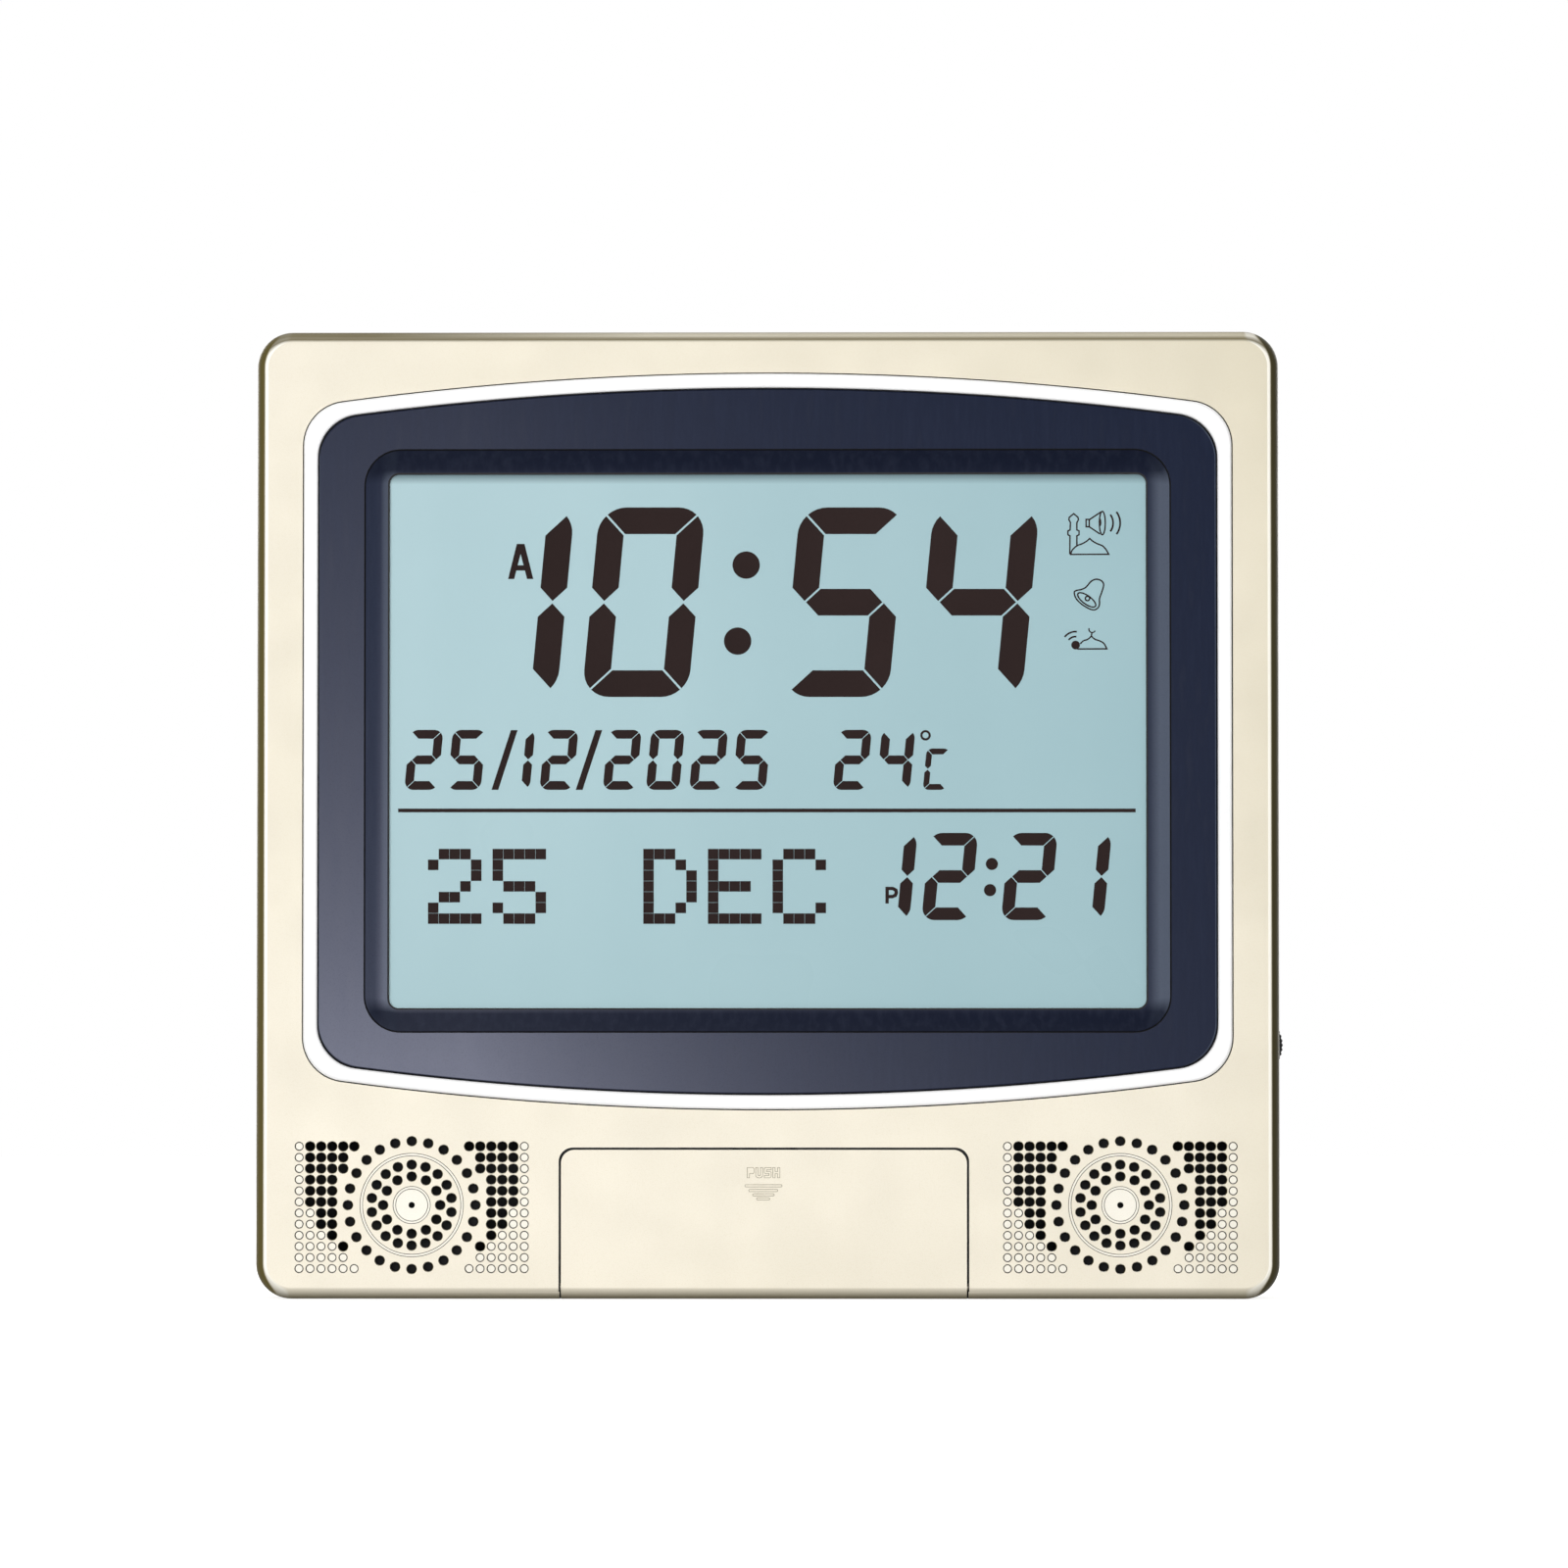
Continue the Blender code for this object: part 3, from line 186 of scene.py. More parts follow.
cross_floor_y = 0.0004
cross_top_y = 0.0017
screw_seats = (
    ("board_screw_{}", board_bosses, -0.007, 0.006),
    ("cover_screw_{}", cover_bosses, 0.0083, 0.013),
    ("button_board_screw_{}", tray_bosses, -0.0005, 0.006),
    ("volume_screw", (volume_post,), 0.0009, 0.006),
)

# Wheel
wheel_place = (0.1232, 0.0644)
wheel_radius = 0.008
wheel_near_y = -0.008
wheel_far_y = -0.005
wheel_clearance = 0.0004
wheel_sides = 64
wheel_ridges = 42
ridge_steps = 6
ridge_depth = 0.00025
wheel_edge = 0.00025
wheel_rim = 0.00125
wheel_smooth_limit = 45
shaft_radius = 0.0015
shaft_end_y = -0.0019
volume_board_y = -0.0006

# Tray and buttons
tray_half_width = 0.0558
tray_low = 0.0025
tray_high = 0.0412
tray_wall = 0.0015
tray_floor_y = -0.0103
tray_back_y = -0.0088
button_board_y = -0.0024
button_pitch = 0.02987
button_rows = (0.0295, 0.0145)
button_half_width = 0.006
button_half_height = 0.0027
button_radius = 0.0026
button_front_y = -0.0128
button_flange_y = -0.0085
button_back_y = -0.0076
button_flange = 0.0012
button_crown = ((0.0, 0.0004), (-0.0001, 0.00016), (-0.0004, 0.0))
button_steps = 8

# Back
tongue_thickness = 0.0014
tongue_length = 0.002
tongue_slope = (0.0015, 0.0032)
battery_z = 0.134
compartment_half_width = 0.02875
compartment_half_height = 0.0153
compartment_y = -0.0006
compartment_wall = 0.0015
compartment_corner = 0.0002
rebate_width = 0.0024
rebate_depth = 0.0025
rim_reach = 0.0043
rim_depth = 0.0018
rim_slope = 0.0015
battery_door_thickness = 0.0022
groove_half_width = 0.007
groove_height = 0.0012
groove_end_radius = 0.49 * groove_height
groove_depth = 0.0007
groove_pitch = 0.0026
groove_drop = 0.0105
small_steps = 6
leg_half_width = 0.0195
leg_low = 0.012
leg_axis = (0.0152, 0.098)
leg_thickness = 0.003
leg_pin_radius = 0.0012
leg_pin_length = 0.0022
leg_foot_radius = 0.004
leg_foot_steps = 8
leg_head_steps = 16
recess_half_width = 0.0201
recess_low = 0.0062
recess_high = 0.1001
recess_y = 0.0134
recess_wall = 0.003
recess_floor = 0.0016
keyhole_x = 0.070
keyhole_z = 0.207
keyhole_radius = 0.0042
keyhole_sides = 40
keyhole_slot = 0.0021
keyhole_slot_radius = 0.99 * keyhole_slot
keyhole_slot_steps = 10
keyhole_length = 0.009
cell_radius = 0.00725
cell_length = 0.0505
cell_y = 0.00695
cell_spacing = 0.0155
cell_edge = 0.0007
cell_sides = 40
nub_radius = 0.0027
nub_length = 0.001
nub_edge = 0.2 * nub_length

# Camera
photo_side = 1600
focal_pixels = 8771.8
camera_place = (0.03043, -2.2, 0.05535)
camera_pitch = 0.0345
camera_turn = -0.01201
camera_clip = 0.01
sensor = 36

# Studio; a lamp has its place, its width and height, and its power in watts
lamps = {
    "key": ((-0.22, -1.5, 0.15), (1.4, 0.6), 26.0),
    "edge": ((0.75, -0.62, 0.25), (0.06, 0.6), 0.15),
    "top": ((0.0, 0.0, 0.95), (1.2, 0.3), 3.0),
    "rear left": ((-1.0, 1.3, 0.5), (0.8, 0.8), 12.0),
    "rear right": ((1.0, 1.3, 0.5), (0.8, 0.8), 12.0),
}
lamp_aim = (0.0, 0.0, 0.12)
world_strength = 0.14
floor_reach = 4.0
floor_drop = 0.0001
floor_glow = (0.14, 0.45, 0.78, 1.0)  # from this distance to that one, from this glow to that one
bright = (1.0, 1.0, 1.0, 1.0)

# Paint: how far painted shade turns it olive where its rounded edges look sideways, up and down,
# and where a painted highlight lies just inside them
side_painted_shade = ((0.26, 0.0), (0.4, 1.0))
top_painted_shade = ((0.12, 0.0), (0.32, 0.86), (0.46, 0.66), (0.62, 0.3), (0.88, 0.3), (0.95, 0.66))
foot_painted_shade = ((0.02, 0.0), (0.12, 0.16), (0.3, 0.3), (0.5, 0.46), (0.8, 0.78), (0.94, 1.0))
rim_painted_highlight = ((0.02, 0.0), (0.08, 0.9), (0.26, 0.9), (0.34, 0.0))
rim_highlight_colour = (248, 245, 235)
# The olive colours of the painted shade on the rounded edges
olive = (88, 78, 38)
dark_olive = (40, 36, 16)
flake_colour = (201, 189, 158)

# Dark frame: where its painted reflection is strongest, and how fast it fades from there for each
# metre
painted_reflection_place = (-0.076, 0.060)
painted_reflection_fade = (15.0, 12.3)
# Painted highlight on the bevel that faces to the right
side_painted_highlight = ((0.02, 0.0), (0.12, 0.55), (0.3, 0.3), (0.4, 0.0))

# Plain plastics: colour, darker tone and roughness, then the specular level, grain and its depth
plastics = {
    # A dark copy of the paint, painted shade on the walls of the grille's dimples and channels
    "painted_recess_shade": ((46, 42, 28), (34, 31, 21), 0.6),
    # A darker copy of the paint, painted shade on the cut wall of the display's window
    "edge": ((120, 114, 100), (92, 88, 78), 0.6),
    "drilled": ((28, 28, 30), (16, 16, 18), 0.6, 0.2),
    "inside": ((24, 24, 26), (14, 14, 16), 0.55, 0.2),
    "white": ((251, 251, 251), (239, 239, 239), 0.3, 0.3, 2400.0, 0.000006),
    "mark": ((50, 39, 38), (42, 33, 32), 0.6, 0.02, 3000.0, 0.000002),
    "reflector": ((226, 228, 226), (204, 208, 206), 0.45),
    "rubber": ((64, 64, 68), (36, 36, 40), 0.7),
    "resin": ((24, 24, 24), (12, 12, 12), 0.25, 0.5, 400.0, 0.00008),
    "sleeve": ((40, 54, 92), (22, 30, 56), 0.35),
    "tray": ((92, 90, 86), (70, 69, 66), 0.5, 0.5, 1400.0, 0.00003),
    "button": ((214, 208, 192), (192, 186, 170), 0.42),
    "magnet": ((58, 58, 60), (36, 36, 38), 0.6, 0.5, 900.0, 0.00006),
    "black": ((34, 34, 36), (18, 18, 20), 0.42),
    "rear": ((214, 204, 178), (196, 186, 160), 0.5, 0.5, 1500.0, 0.00005),
    "lacquer": ((14, 14, 16), (8, 8, 10), 0.6, 0.1, 900.0, 0.00002),
}

# The materials of the solids that are carried over
node_looks = {
    "glass": ("lcd_panel",),
    "reflector": ("lcd_reflector",),
    "rubber": ("contact_strip_low", "contact_strip_high"),
    "board": ("main_board", "button_board", "volume_board"),
    "resin": ("controller_blob",),
    "sleeve": ("capacitor_can",),
    "steel": ("crystal_can",),
    "lacquer": ("speaker_frame_left", "speaker_frame_right"),
    "paper": ("speaker_cone_left", "speaker_cone_right"),
    "magnet": ("speaker_magnet_left", "speaker_magnet_right"),
    "black": ("volume_control",),
    "nickel": ("contact_bridge", "contact_plus", "contact_minus"),
}

# Marks on the display: where digits start and stand, in the photograph's pixels
slant = 0.0945
lit = {"0": "abcdef", "1": "bc", "2": "abged", "4": "fgbc", "5": "afgcd", "C": "afed"}
time_size = (108.4, 193.4, 27.2, 2.0)
time_base = 711.2
time_dot = 14.0
time_digits = (("1", 459.8), ("0", 593.6), ("5", 798.1), ("4", 934.4))
date_size = (34.2, 61.2, 9.0, 0.7)
date_base = 806.0
date_digits = (
    ("2", 412.5), ("5", 456.3), ("1", 506.3), ("2", 550.4), ("2", 614.9),
    ("0", 658.9), ("2", 703.1), ("5", 747.1), ("2", 849.7), ("4", 894.2),
)
date_strokes = ((501.5, 528.2), (587.5, 614.5))
stroke_width = 6.9
stroke_top = 745.0
unit_size = (23.8, 42.2, 6.0, 0.7)
degree_radius = 4.2
degree_line = 2.3
next_size = (49.6, 89.0, 12.9, 0.9)
next_base = 938.9
next_dot = 6.2
next_digits = (("1", 878.4), ("2", 940.2), ("2", 1021.4), ("1", 1076.6))
dot_signs = {
    "2": (".###.", "#...#", "....#", "...#.", ".##..", "#....", "#####"),
    "5": ("#####", "#....", "#....", ".###.", "....#", "#...#", ".###."),
    "D": ("###..", "#..#.", "#...#", "#...#", "#...#", "#..#.", "###.."),
    "E": ("#####", "#....", "#....", "####.", "#....", "#....", "#####"),
    "C": (".###.", "#...#", "#....", "#....", "#....", "#...#", ".###."),
}
dot_places = (("2", 436.7), ("5", 502.6), ("D", 656.4), ("E", 722.4), ("C", 788.3))
dot_top = 866.2
dot_pitch = 10.97
dot_side = 10.72
icon_corner = (1000, 469)
icon_scale = 6.273
icon_line = 1.5
wave_line = 1.9
low_wave_line = 1.8
crescent_line = 1.3


# Shapes

def object_from(mesh, names=(), name="shape"):
    """An object from a mesh in the making; names are those of its materials."""
    bmesh.ops.recalc_face_normals(mesh, faces=mesh.faces)
    data = bpy.data.meshes.new(name)
    mesh.to_mesh(data)
    mesh.free()
    for look in names:
        data.materials.append(looks[look])
    made = bpy.data.objects.new(name, data)
    bpy.context.scene.collection.objects.link(made)
    return made


def add_skin(mesh, rings, looped=False, slots=None, caps=(0, 0)):
    """Adds a closed surface through rings of points; slots has a material index for each band."""
    loops = [[mesh.verts.new(point) for point in ring] for ring in rings]
    pairs = list(zip(loops, loops[1:]))
    if looped:
        pairs.append((loops[-1], loops[0]))
    else:
        for loop, slot in zip((loops[0], loops[-1]), caps):
            mesh.faces.new(loop).material_index = slot
    for number, (near, far) in enumerate(pairs):
        for i, point in enumerate(near):
            j = (i + 1) % len(near)
            face = mesh.faces.new((point, near[j], far[j], far[i]))
            face.material_index = slots[number] if slots else 0


def skinned(rings, *names, **settings):
    mesh = bmesh.new()
    add_skin(mesh, rings, **settings)
    return object_from(mesh, names)


def cut(target, cutter):
    combine(target, cutter, "DIFFERENCE")


def join(target, addition):
    combine(target, addition, "UNION")


def combine(target, other, operation):
    """Applies a Boolean at once and removes the other object."""
    step = target.modifiers.new("step", "BOOLEAN")
    step.object = other
    step.operation = operation
    step.solver = "EXACT"
    step.material_mode = "TRANSFER"
    shaped = target.evaluated_get(bpy.context.evaluated_depsgraph_get())
    data = bpy.data.meshes.new_from_object(shaped)
    target.modifiers.clear()
    target.data = data
    bpy.data.objects.remove(other)


def sweep(middle, radius, start, end, steps):
    """The points of an arc, both ends with them."""
    angles = [start + (end - start) * k / steps for k in range(steps + 1)]
    return [(middle[0] + radius * cos(a), middle[1] + radius * sin(a)) for a in angles]


def circle(middle, radius, sides=round_sides):
    return sweep(middle, radius, pi / sides, 2 * pi + pi / sides, sides)[:-1]


def bowed_outline(half, low, high, radius, bow_radius=None):
    """A rounded rectangle whose top and bottom may bow outwards, from the right and upwards."""
    middle_x = half - radius
    if bow_radius:
        bow_z = high - bow_radius
        middle_z = bow_z + sqrt((bow_radius - radius) ** 2 - middle_x**2)
        turn = atan2(middle_z - bow_z, middle_x)
        bow = sweep((0.0, bow_z), bow_radius, turn, pi - turn, bow_steps)
    else:
        middle_z = high - radius
        turn = pi / 2
        bow = [(middle_x - 2 * middle_x * k / bow_steps, high) for k in range(bow_steps + 1)]
    corner = sweep((middle_x, middle_z), radius, 0.0, turn, corner_steps)[:-1]
    upper = corner + bow + [(-x, z) for x, z in reversed(corner)]
    return upper + [(x, low + high - z) for x, z in reversed(upper)]


def rounded_outline(half, low, high, radius, middle=0.0, steps=corner_steps):
    left, right = middle - half + radius, middle + half - radius
    top, bottom = high - radius, low + radius
    points = []
    for k, middle in enumerate(((right, top), (left, top), (left, bottom), (right, bottom))):
        points += sweep(middle, radius, k * pi / 2, (k + 1) * pi / 2, steps)
    return points


def box_outline(half, low, high, middle=0.0):
    left, right = middle - half, middle + half
    return [(right, low), (right, high), (left, high), (left, low)]


def housing_outline(inset):
    return rounded_outline(half_width - inset, inset, body_height - inset, corner_radius - inset)


def edge_rounding():
    """Insets of the housing's outline, each with its depth, round its front or back edge."""
    return sweep((edge_radius, edge_radius), edge_radius, -pi / 2, -pi, edge_steps)


def window_outline(grow, radius=band_corner_radius):
    return bowed_outline(
        ring_half_width + grow, ring_low - grow, ring_high + grow, radius, ring_bow_radius + grow
    )


def blend_outlines(first, second, share):
    return [
        (x + (u - x) * share, z + (v - z) * share) for (x, z), (u, v) in zip(first, second)
    ]


def layers(*pairs):
    """Rings of points from outlines in X and Z, each with its depth."""
    return [[Vector((x, y, z)) for x, z in outline] for outline, y in pairs]


def at_width(outline, x):
    return [Vector((x, y, z)) for y, z in outline]


def blocks(outlines, near_y, far_y, *names):
    mesh = bmesh.new()
    for outline in outlines:
        add_skin(mesh, layers((outline, near_y), (outline, far_y)))
    return object_from(mesh, names)


def rods(places, near_y, far_y, radius, *names, sides=round_sides):
    return blocks([circle(place, radius, sides) for place in places], near_y, far_y, *names)


def pin(ends, axis, radius):
    """A round pin along X, with its axis at this depth and height."""
    return skinned([at_width(circle(axis, radius), x) for x in ends])


def turned(places, profile, sides, *names, **settings):
    """Tools turned about axes along Y; the profile has radii and depths behind the front."""
    mesh = bmesh.new()
    for place in places:
        rings = [(circle(place, radius, sides), front_y + depth) for radius, depth in profile]
        add_skin(mesh, layers(*rings), **settings)
    return object_from(mesh, names)


def rounded_ends(half, radius, steps):
    """Places across a part with two rounded corners, each with how far its corner draws in."""
    left = sweep((radius - half, radius), radius, -pi, -pi / 2, steps)
    return left + sweep((half - radius, radius), radius, -pi / 2, 0.0, steps)


# Materials

looks = {}


class Nodes:
    """A node tree in the making."""

    def __init__(self, tree):
        self.tree = tree

    def add(self, kind, values=(), **settings):
        node = self.tree.nodes.new(kind)
        for key, value in settings.items():
            setattr(node, key, value)
        for key, value in dict(values).items():
            self.feed(node.inputs[key], value)
        return node

    def feed(self, socket, value):
        if isinstance(value, bpy.types.NodeSocket):
            self.tree.links.new(value, socket)
        else:
            socket.default_value = value

    def maths(self, operation, *values):
        return self.add("ShaderNodeMath", enumerate(values), operation=operation).outputs[0]

    def times(self, first, second):
        return self.maths("MULTIPLY", first, second)

    def ranged(self, value, low, high, to_low, to_high):
        limits = {"From Min": low, "From Max": high, "To Min": to_low, "To Max": to_high}
        return self.add("ShaderNodeMapRange", {"Value": value, **limits}).outputs["Result"]

    def seen_plainly(self):
        """One for rays from the camera, a mirror or glass, which see the plain white studio."""
        rays = self.add("ShaderNodeLightPath").outputs
        mirrored = self.maths("MAXIMUM", rays["Is Glossy Ray"], rays["Is Transmission Ray"])
        return self.maths("MAXIMUM", rays["Is Camera Ray"], mirrored)


class Finish(Nodes):
    """A procedural material; every texture follows the piece's own metres."""

    def __init__(self, name, colour, roughness, metallic=0.0, specular=0.5):
        material = looks[name] = bpy.data.materials.new(name)
        material.use_nodes = True
        super().__init__(material.node_tree)
        self.shader = self.tree.nodes["Principled BSDF"]
        source = self.add("ShaderNodeTexCoord")
        self.place = source.outputs["Object"]
        self.x, _, self.z = self.split(self.place)
        self.facing = self.split(source.outputs["Normal"])
        self.colour = self.linear(colour)
        self.normal = None
        material.diffuse_color = self.colour
        self.shade("Base Color", self.colour)
        self.shade("Metallic", metallic)
        self.shade("Specular IOR Level", specular)
        self.shade("Roughness", roughness)

    def shade(self, socket, value):
        self.feed(self.shader.inputs[socket], value)

    def split(self, vector):
        return self.add("ShaderNodeSeparateXYZ", {"Vector": vector}).outputs

    def linear(self, colour):
        """A colour's values from 0 to 255, turned into linear light."""
        shares = [value / 255 for value in colour]
        return (*[s / 12.92 if s <= 0.04045 else ((s + 0.055) / 1.055) ** 2.4 for s in shares], 1.0)

    def noise(self, scale, detail=3.0, stretch=None):
        vector = self.place
        if stretch:
            values = {"Vector": vector, "Scale": stretch}
            vector = self.add("ShaderNodeMapping", values).outputs["Vector"]
        values = {"Vector": vector, "Scale": scale, "Detail": detail}
        return self.add("ShaderNodeTexNoise", values).outputs["Fac"]

    def ramp(self, value, stops):
        """A factor that follows the stops, each a place and a share."""
        node = self.add("ShaderNodeValToRGB", {"Fac": value})
        marks = node.color_ramp.elements
        for number, (place, share) in enumerate(stops):
            mark = marks[number] if number < len(marks) else marks.new(place)
            mark.position = place
            mark.color = (share, share, share, 1.0)
        return node.outputs["Color"]

    def tone(self, factor, colour):
        """Lays another colour over the one so far."""
        node = self.add("ShaderNodeMix", data_type="RGBA")
        self.feed(node.inputs["Factor"], factor)
        self.feed(node.inputs["A"], self.colour)
        self.feed(node.inputs["B"], self.linear(colour))
        self.colour = node.outputs["Result"]
        self.shade("Base Color", self.colour)

    def wash(self, value, low, high, share, colour):
        """Lays a colour over the one so far, from nothing at low to this share at high."""
        self.tone(self.ranged(value, low, high, 0.0, share), colour)

    def rough(self, value, low, high):
        self.shade("Roughness", self.ranged(value, 0.3, 0.7, low, high))

    def bump(self, height, depth):
        values = {"Height": height, "Distance": depth}
        if self.normal:
            values["Normal"] = self.normal
        self.normal = self.add("ShaderNodeBump", values).outputs["Normal"]
        self.shade("Normal", self.normal)


def moulded(name, colour, darker, roughness, specular=0.5, grain=1800.0, depth=0.00002):
    """Moulded plastic: faint flow clouds, a fine grain and uneven gloss."""
    made = Finish(name, colour, roughness, 0.0, specular)
    cloud = made.noise(22.0, 4.0)
    fine = made.noise(grain, 2.0)
    made.wash(cloud, 0.35, 0.75, 0.6, darker)
    made.wash(fine, 0.45, 0.8, 0.35, darker)
    made.rough(cloud, roughness - 0.05, roughness + 0.07)
    made.bump(fine, depth)


def paint(name, colour, shade, upper_left_shade):
    """Champagne paint: fine pearl flakes, a soft cloud and a slight orange peel, with painted shade
    across its face and on its rounded front edges and a painted highlight just inside them.
    """
    made = Finish(name, colour, 0.5, 0.12, 0.2)
    flakes = made.noise(5200.0, 2.0)
    # Painted shade: darker on the upper left, towards the upper right corner and along the right
    # margin
    left = made.ranged(made.x, -half_width, half_width, 0.62, 0.3)
    made.tone(made.times(left, made.ranged(made.z, -0.02, 0.12, 0.0, 1.0)), upper_left_shade)
    right = made.ranged(made.x, -half_width, half_width, 0.0, 1.0)
    up = made.ranged(made.z, 0.0, body_height, 0.0, 1.0)
    made.wash(made.times(right, up), 0.2, 1.0, 0.5, shade)
    made.wash(made.x, 0.104, 0.126, 0.22, shade)
    made.wash(made.noise(9.0), 0.35, 0.7, 0.22, shade)
    made.wash(flakes, 0.5, 0.8, 0.3, flake_colour)

    # The rounded edges of the front get painted shade and a painted highlight; the side walls,
    # which look straight sideways, have no tone
    turn, depth, lean = made.facing
    sideways = made.maths("ABSOLUTE", turn)
    forward = made.ranged(depth, -0.06, -0.2, 0.0, 1.0)
    # A painted highlight just inside the rounded edges
    made.tone(made.times(made.ramp(sideways, rim_painted_highlight), forward), rim_highlight_colour)
    # Painted shade in olive on the rounded edges
    edges = made.maths("MAXIMUM", made.ramp(sideways, side_painted_shade), made.ramp(lean, top_painted_shade))
    downwards = made.ramp(made.times(lean, -1.0), foot_painted_shade)
    made.tone(made.times(made.maths("MAXIMUM", edges, downwards), forward), olive)
    # Darker painted shade on the right edge, and olive painted shade on the left part of the top
    # edge
    made.tone(made.times(made.ranged(turn, 0.3, 0.42, 0.0, 0.8), forward), dark_olive)
    brow = made.times(made.ranged(lean, 0.3, 0.6, 0.0, 1.0), forward)
    made.tone(made.times(brow, made.ranged(made.x, -0.10, -0.03, 0.85, 0.0)), olive)
    made.rough(made.noise(60.0), 0.47, 0.54)
    made.bump(made.noise(1100.0, 2.0), 0.00001)
    made.bump(flakes, 0.000004)


def navy(name, colour, painted_reflection):
    """Dark blue satin plastic with a painted reflection that fades from the lower left to the upper
    right.
    """
    made = Finish(name, colour, 0.42, 0.0, 0.045)
    (start_x, start_z), (fade_x, fade_z) = painted_reflection_place, painted_reflection_fade
    right = made.maths("MAXIMUM", made.x, start_x)
    across = made.maths("MULTIPLY_ADD", right, -fade_x, fade_x * start_x)
    along = made.maths("MULTIPLY_ADD", made.z, -fade_z, fade_z * start_z)
    made.tone(made.maths("EXPONENT", made.maths("ADD", across, along)), painted_reflection)
    # Painted highlights on the bevels that face sideways, painted shade on those that face up and
    # down
    turn, _, lean = made.facing
    made.wash(turn, -0.2, -0.5, 0.75, (98, 106, 122))
    made.wash(turn, 0.3, 0.5, 0.7, (42, 49, 68))
    made.tone(made.ramp(turn, side_painted_highlight), (106, 116, 132))
    made.wash(made.maths("ABSOLUTE", lean), 0.02, 0.3, 0.9, (19, 24, 40))
    streaks = made.noise(60.0, 4.0, (9.0, 9.0, 1.2))
    made.wash(streaks, 0.45, 0.8, 0.07, (96, 102, 122))
    fine = made.noise(2600.0, 2.0)
    made.wash(fine, 0.5, 0.8, 0.12, (12, 15, 26))
    made.rough(streaks, 0.36, 0.48)
    made.bump(fine, 0.000012)


def display_glass(name, colour):
    """The LCD's pale blue-green field with painted shade to the right and towards the bottom, a
    painted shadow under the frame's top lip, and vertical tracks.
    """
    made = Finish(name, colour, 0.3, 0.0, 0.1)
    made.wash(made.x, -0.096, 0.096, 1.0, (157, 191, 198))
    made.tone(made.ranged(made.z, 0.074, 0.210, 0.35, 0.0), (156, 189, 195))
    # Painted shadow under the frame's top lip
    made.wash(made.z, sight_high - 0.0024, sight_high - 0.0002, 0.9, (84, 108, 116))
    made.wash(made.noise(30.0, 2.0, (1.0, 1.0, 0.02)), 0.35, 0.65, 0.12, (144, 178, 185))
    fine = made.noise(4000.0, 2.0)
    made.wash(fine, 0.4, 0.8, 0.08, (136, 170, 176))
    made.rough(made.noise(18.0, 2.0), 0.26, 0.34)
    made.bump(fine, 0.000002)


def steel(name, colour, roughness):
    made = Finish(name, colour, roughness, 1.0)
    brushed = made.noise(900.0, 3.0, (1.0, 0.15, 1.0))
    made.wash(brushed, 0.35, 0.75, 0.5, (120, 118, 112))
    made.rough(brushed, roughness - 0.08, roughness + 0.1)
    made.bump(brushed, 0.000008)


def circuit(name, colour):
    """Green board with paler copper tracks under the lacquer."""
    made = Finish(name, colour, 0.42)
    values = {"Vector": made.place, "Rotation": (pi / 2, 0.0, 0.0)}
    values = {
        "Vector": made.add("ShaderNodeMapping", values).outputs["Vector"],
        "Scale": 60.0, "Mortar Size": 0.03, "Brick Width": 0.9, "Row Height": 0.16,
    }
    tracks = made.add("ShaderNodeTexBrick", values, offset=0.37).outputs["Fac"]
    made.tone(tracks, (60, 128, 78))
    weave = made.noise(700.0)
    made.wash(weave, 0.4, 0.75, 0.3, (16, 66, 38))
    made.rough(weave, 0.36, 0.5)
    made.bump(tracks, 0.00003)
    made.bump(weave, 0.000008)


def paper(name, colour):
    made = Finish(name, colour, 0.85)
    pulp = made.noise(1400.0, 5.0)
    made.wash(pulp, 0.4, 0.75, 0.5, (34, 33, 34))
    made.rough(pulp, 0.78, 0.92)
    made.bump(pulp, 0.00005)


def jacket(name, colour, side):
    """A cell's plain shrink jacket with a gold band at its plus end, right (1) or left (-1)."""
    made = Finish(name, colour, 0.32, 0.3)
    made.wash(made.times(made.x, side), 0.0125, 0.0127, 1.0, (190, 150, 84))
    fine = made.noise(240.0)
    made.wash(fine, 0.35, 0.75, 0.25, (14, 20, 40))
    made.rough(fine, 0.26, 0.4)
    made.bump(fine, 0.00001)


def make_materials():
    paint("paint", (232, 225, 209), (195, 187, 162), (213, 207, 192))
    # A paler copy of the paint, a painted highlight on the floors of the dimples and channels and
    # on the centre disc
    paint("pale", (234, 230, 219), (224, 219, 205), (228, 223, 211))
    # A darker copy of the paint, painted shade along the raised push marks
    paint("relief", (126, 119, 100), (108, 102, 84), (126, 119, 100))
    for name, values in plastics.items():
        moulded(name, *values)
    navy("navy", (9, 21, 46), (115, 118, 135))
    display_glass("glass", (179, 208, 214))
    circuit("board", (28, 92, 52))
    steel("steel", (196, 194, 188), 0.34)
    steel("nickel", (210, 206, 198), 0.26)
    paper("paper", (18, 18, 20))
    jacket("cell_1", (30, 46, 88), 1.0)
    jacket("cell_2", (30, 46, 88), -1.0)


# Pieces

def stand_in(piece, node, body="housing", limit=smooth_limit):
    """Smooths a piece and puts it in the place of a node of the frame."""
    piece.data.shade_smooth()
    piece.data.set_sharp_from_angle(angle=radians(limit))
    piece.modifiers.new("weighted", "WEIGHTED_NORMAL").keep_sharp = True
    piece.name = f"{node}_skin"
    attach(piece, body)
    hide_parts(node)


def grille_places():
    holes, dimples, centres = [], [], []
    for side in (-1, 1):
        middle = grille_x + side * grille_offset_x
        centres.append((middle, grille_z))
        for row, marks in enumerate(block_rows):
            for column, mark in enumerate(marks):
                reach = outer_column - hole_pitch * column
                places = holes if mark == "#" else dimples
                z = grille_z + top_row - row_pitch * row
                places += [(middle - reach, z), (middle + reach, z)]
        for count, radius in hole_rings:
            for k in range(count):
                a = 2 * pi * k / count
                holes.append((middle + radius * sin(a), grille_z + radius * cos(a)))
    return holes, dimples, centres


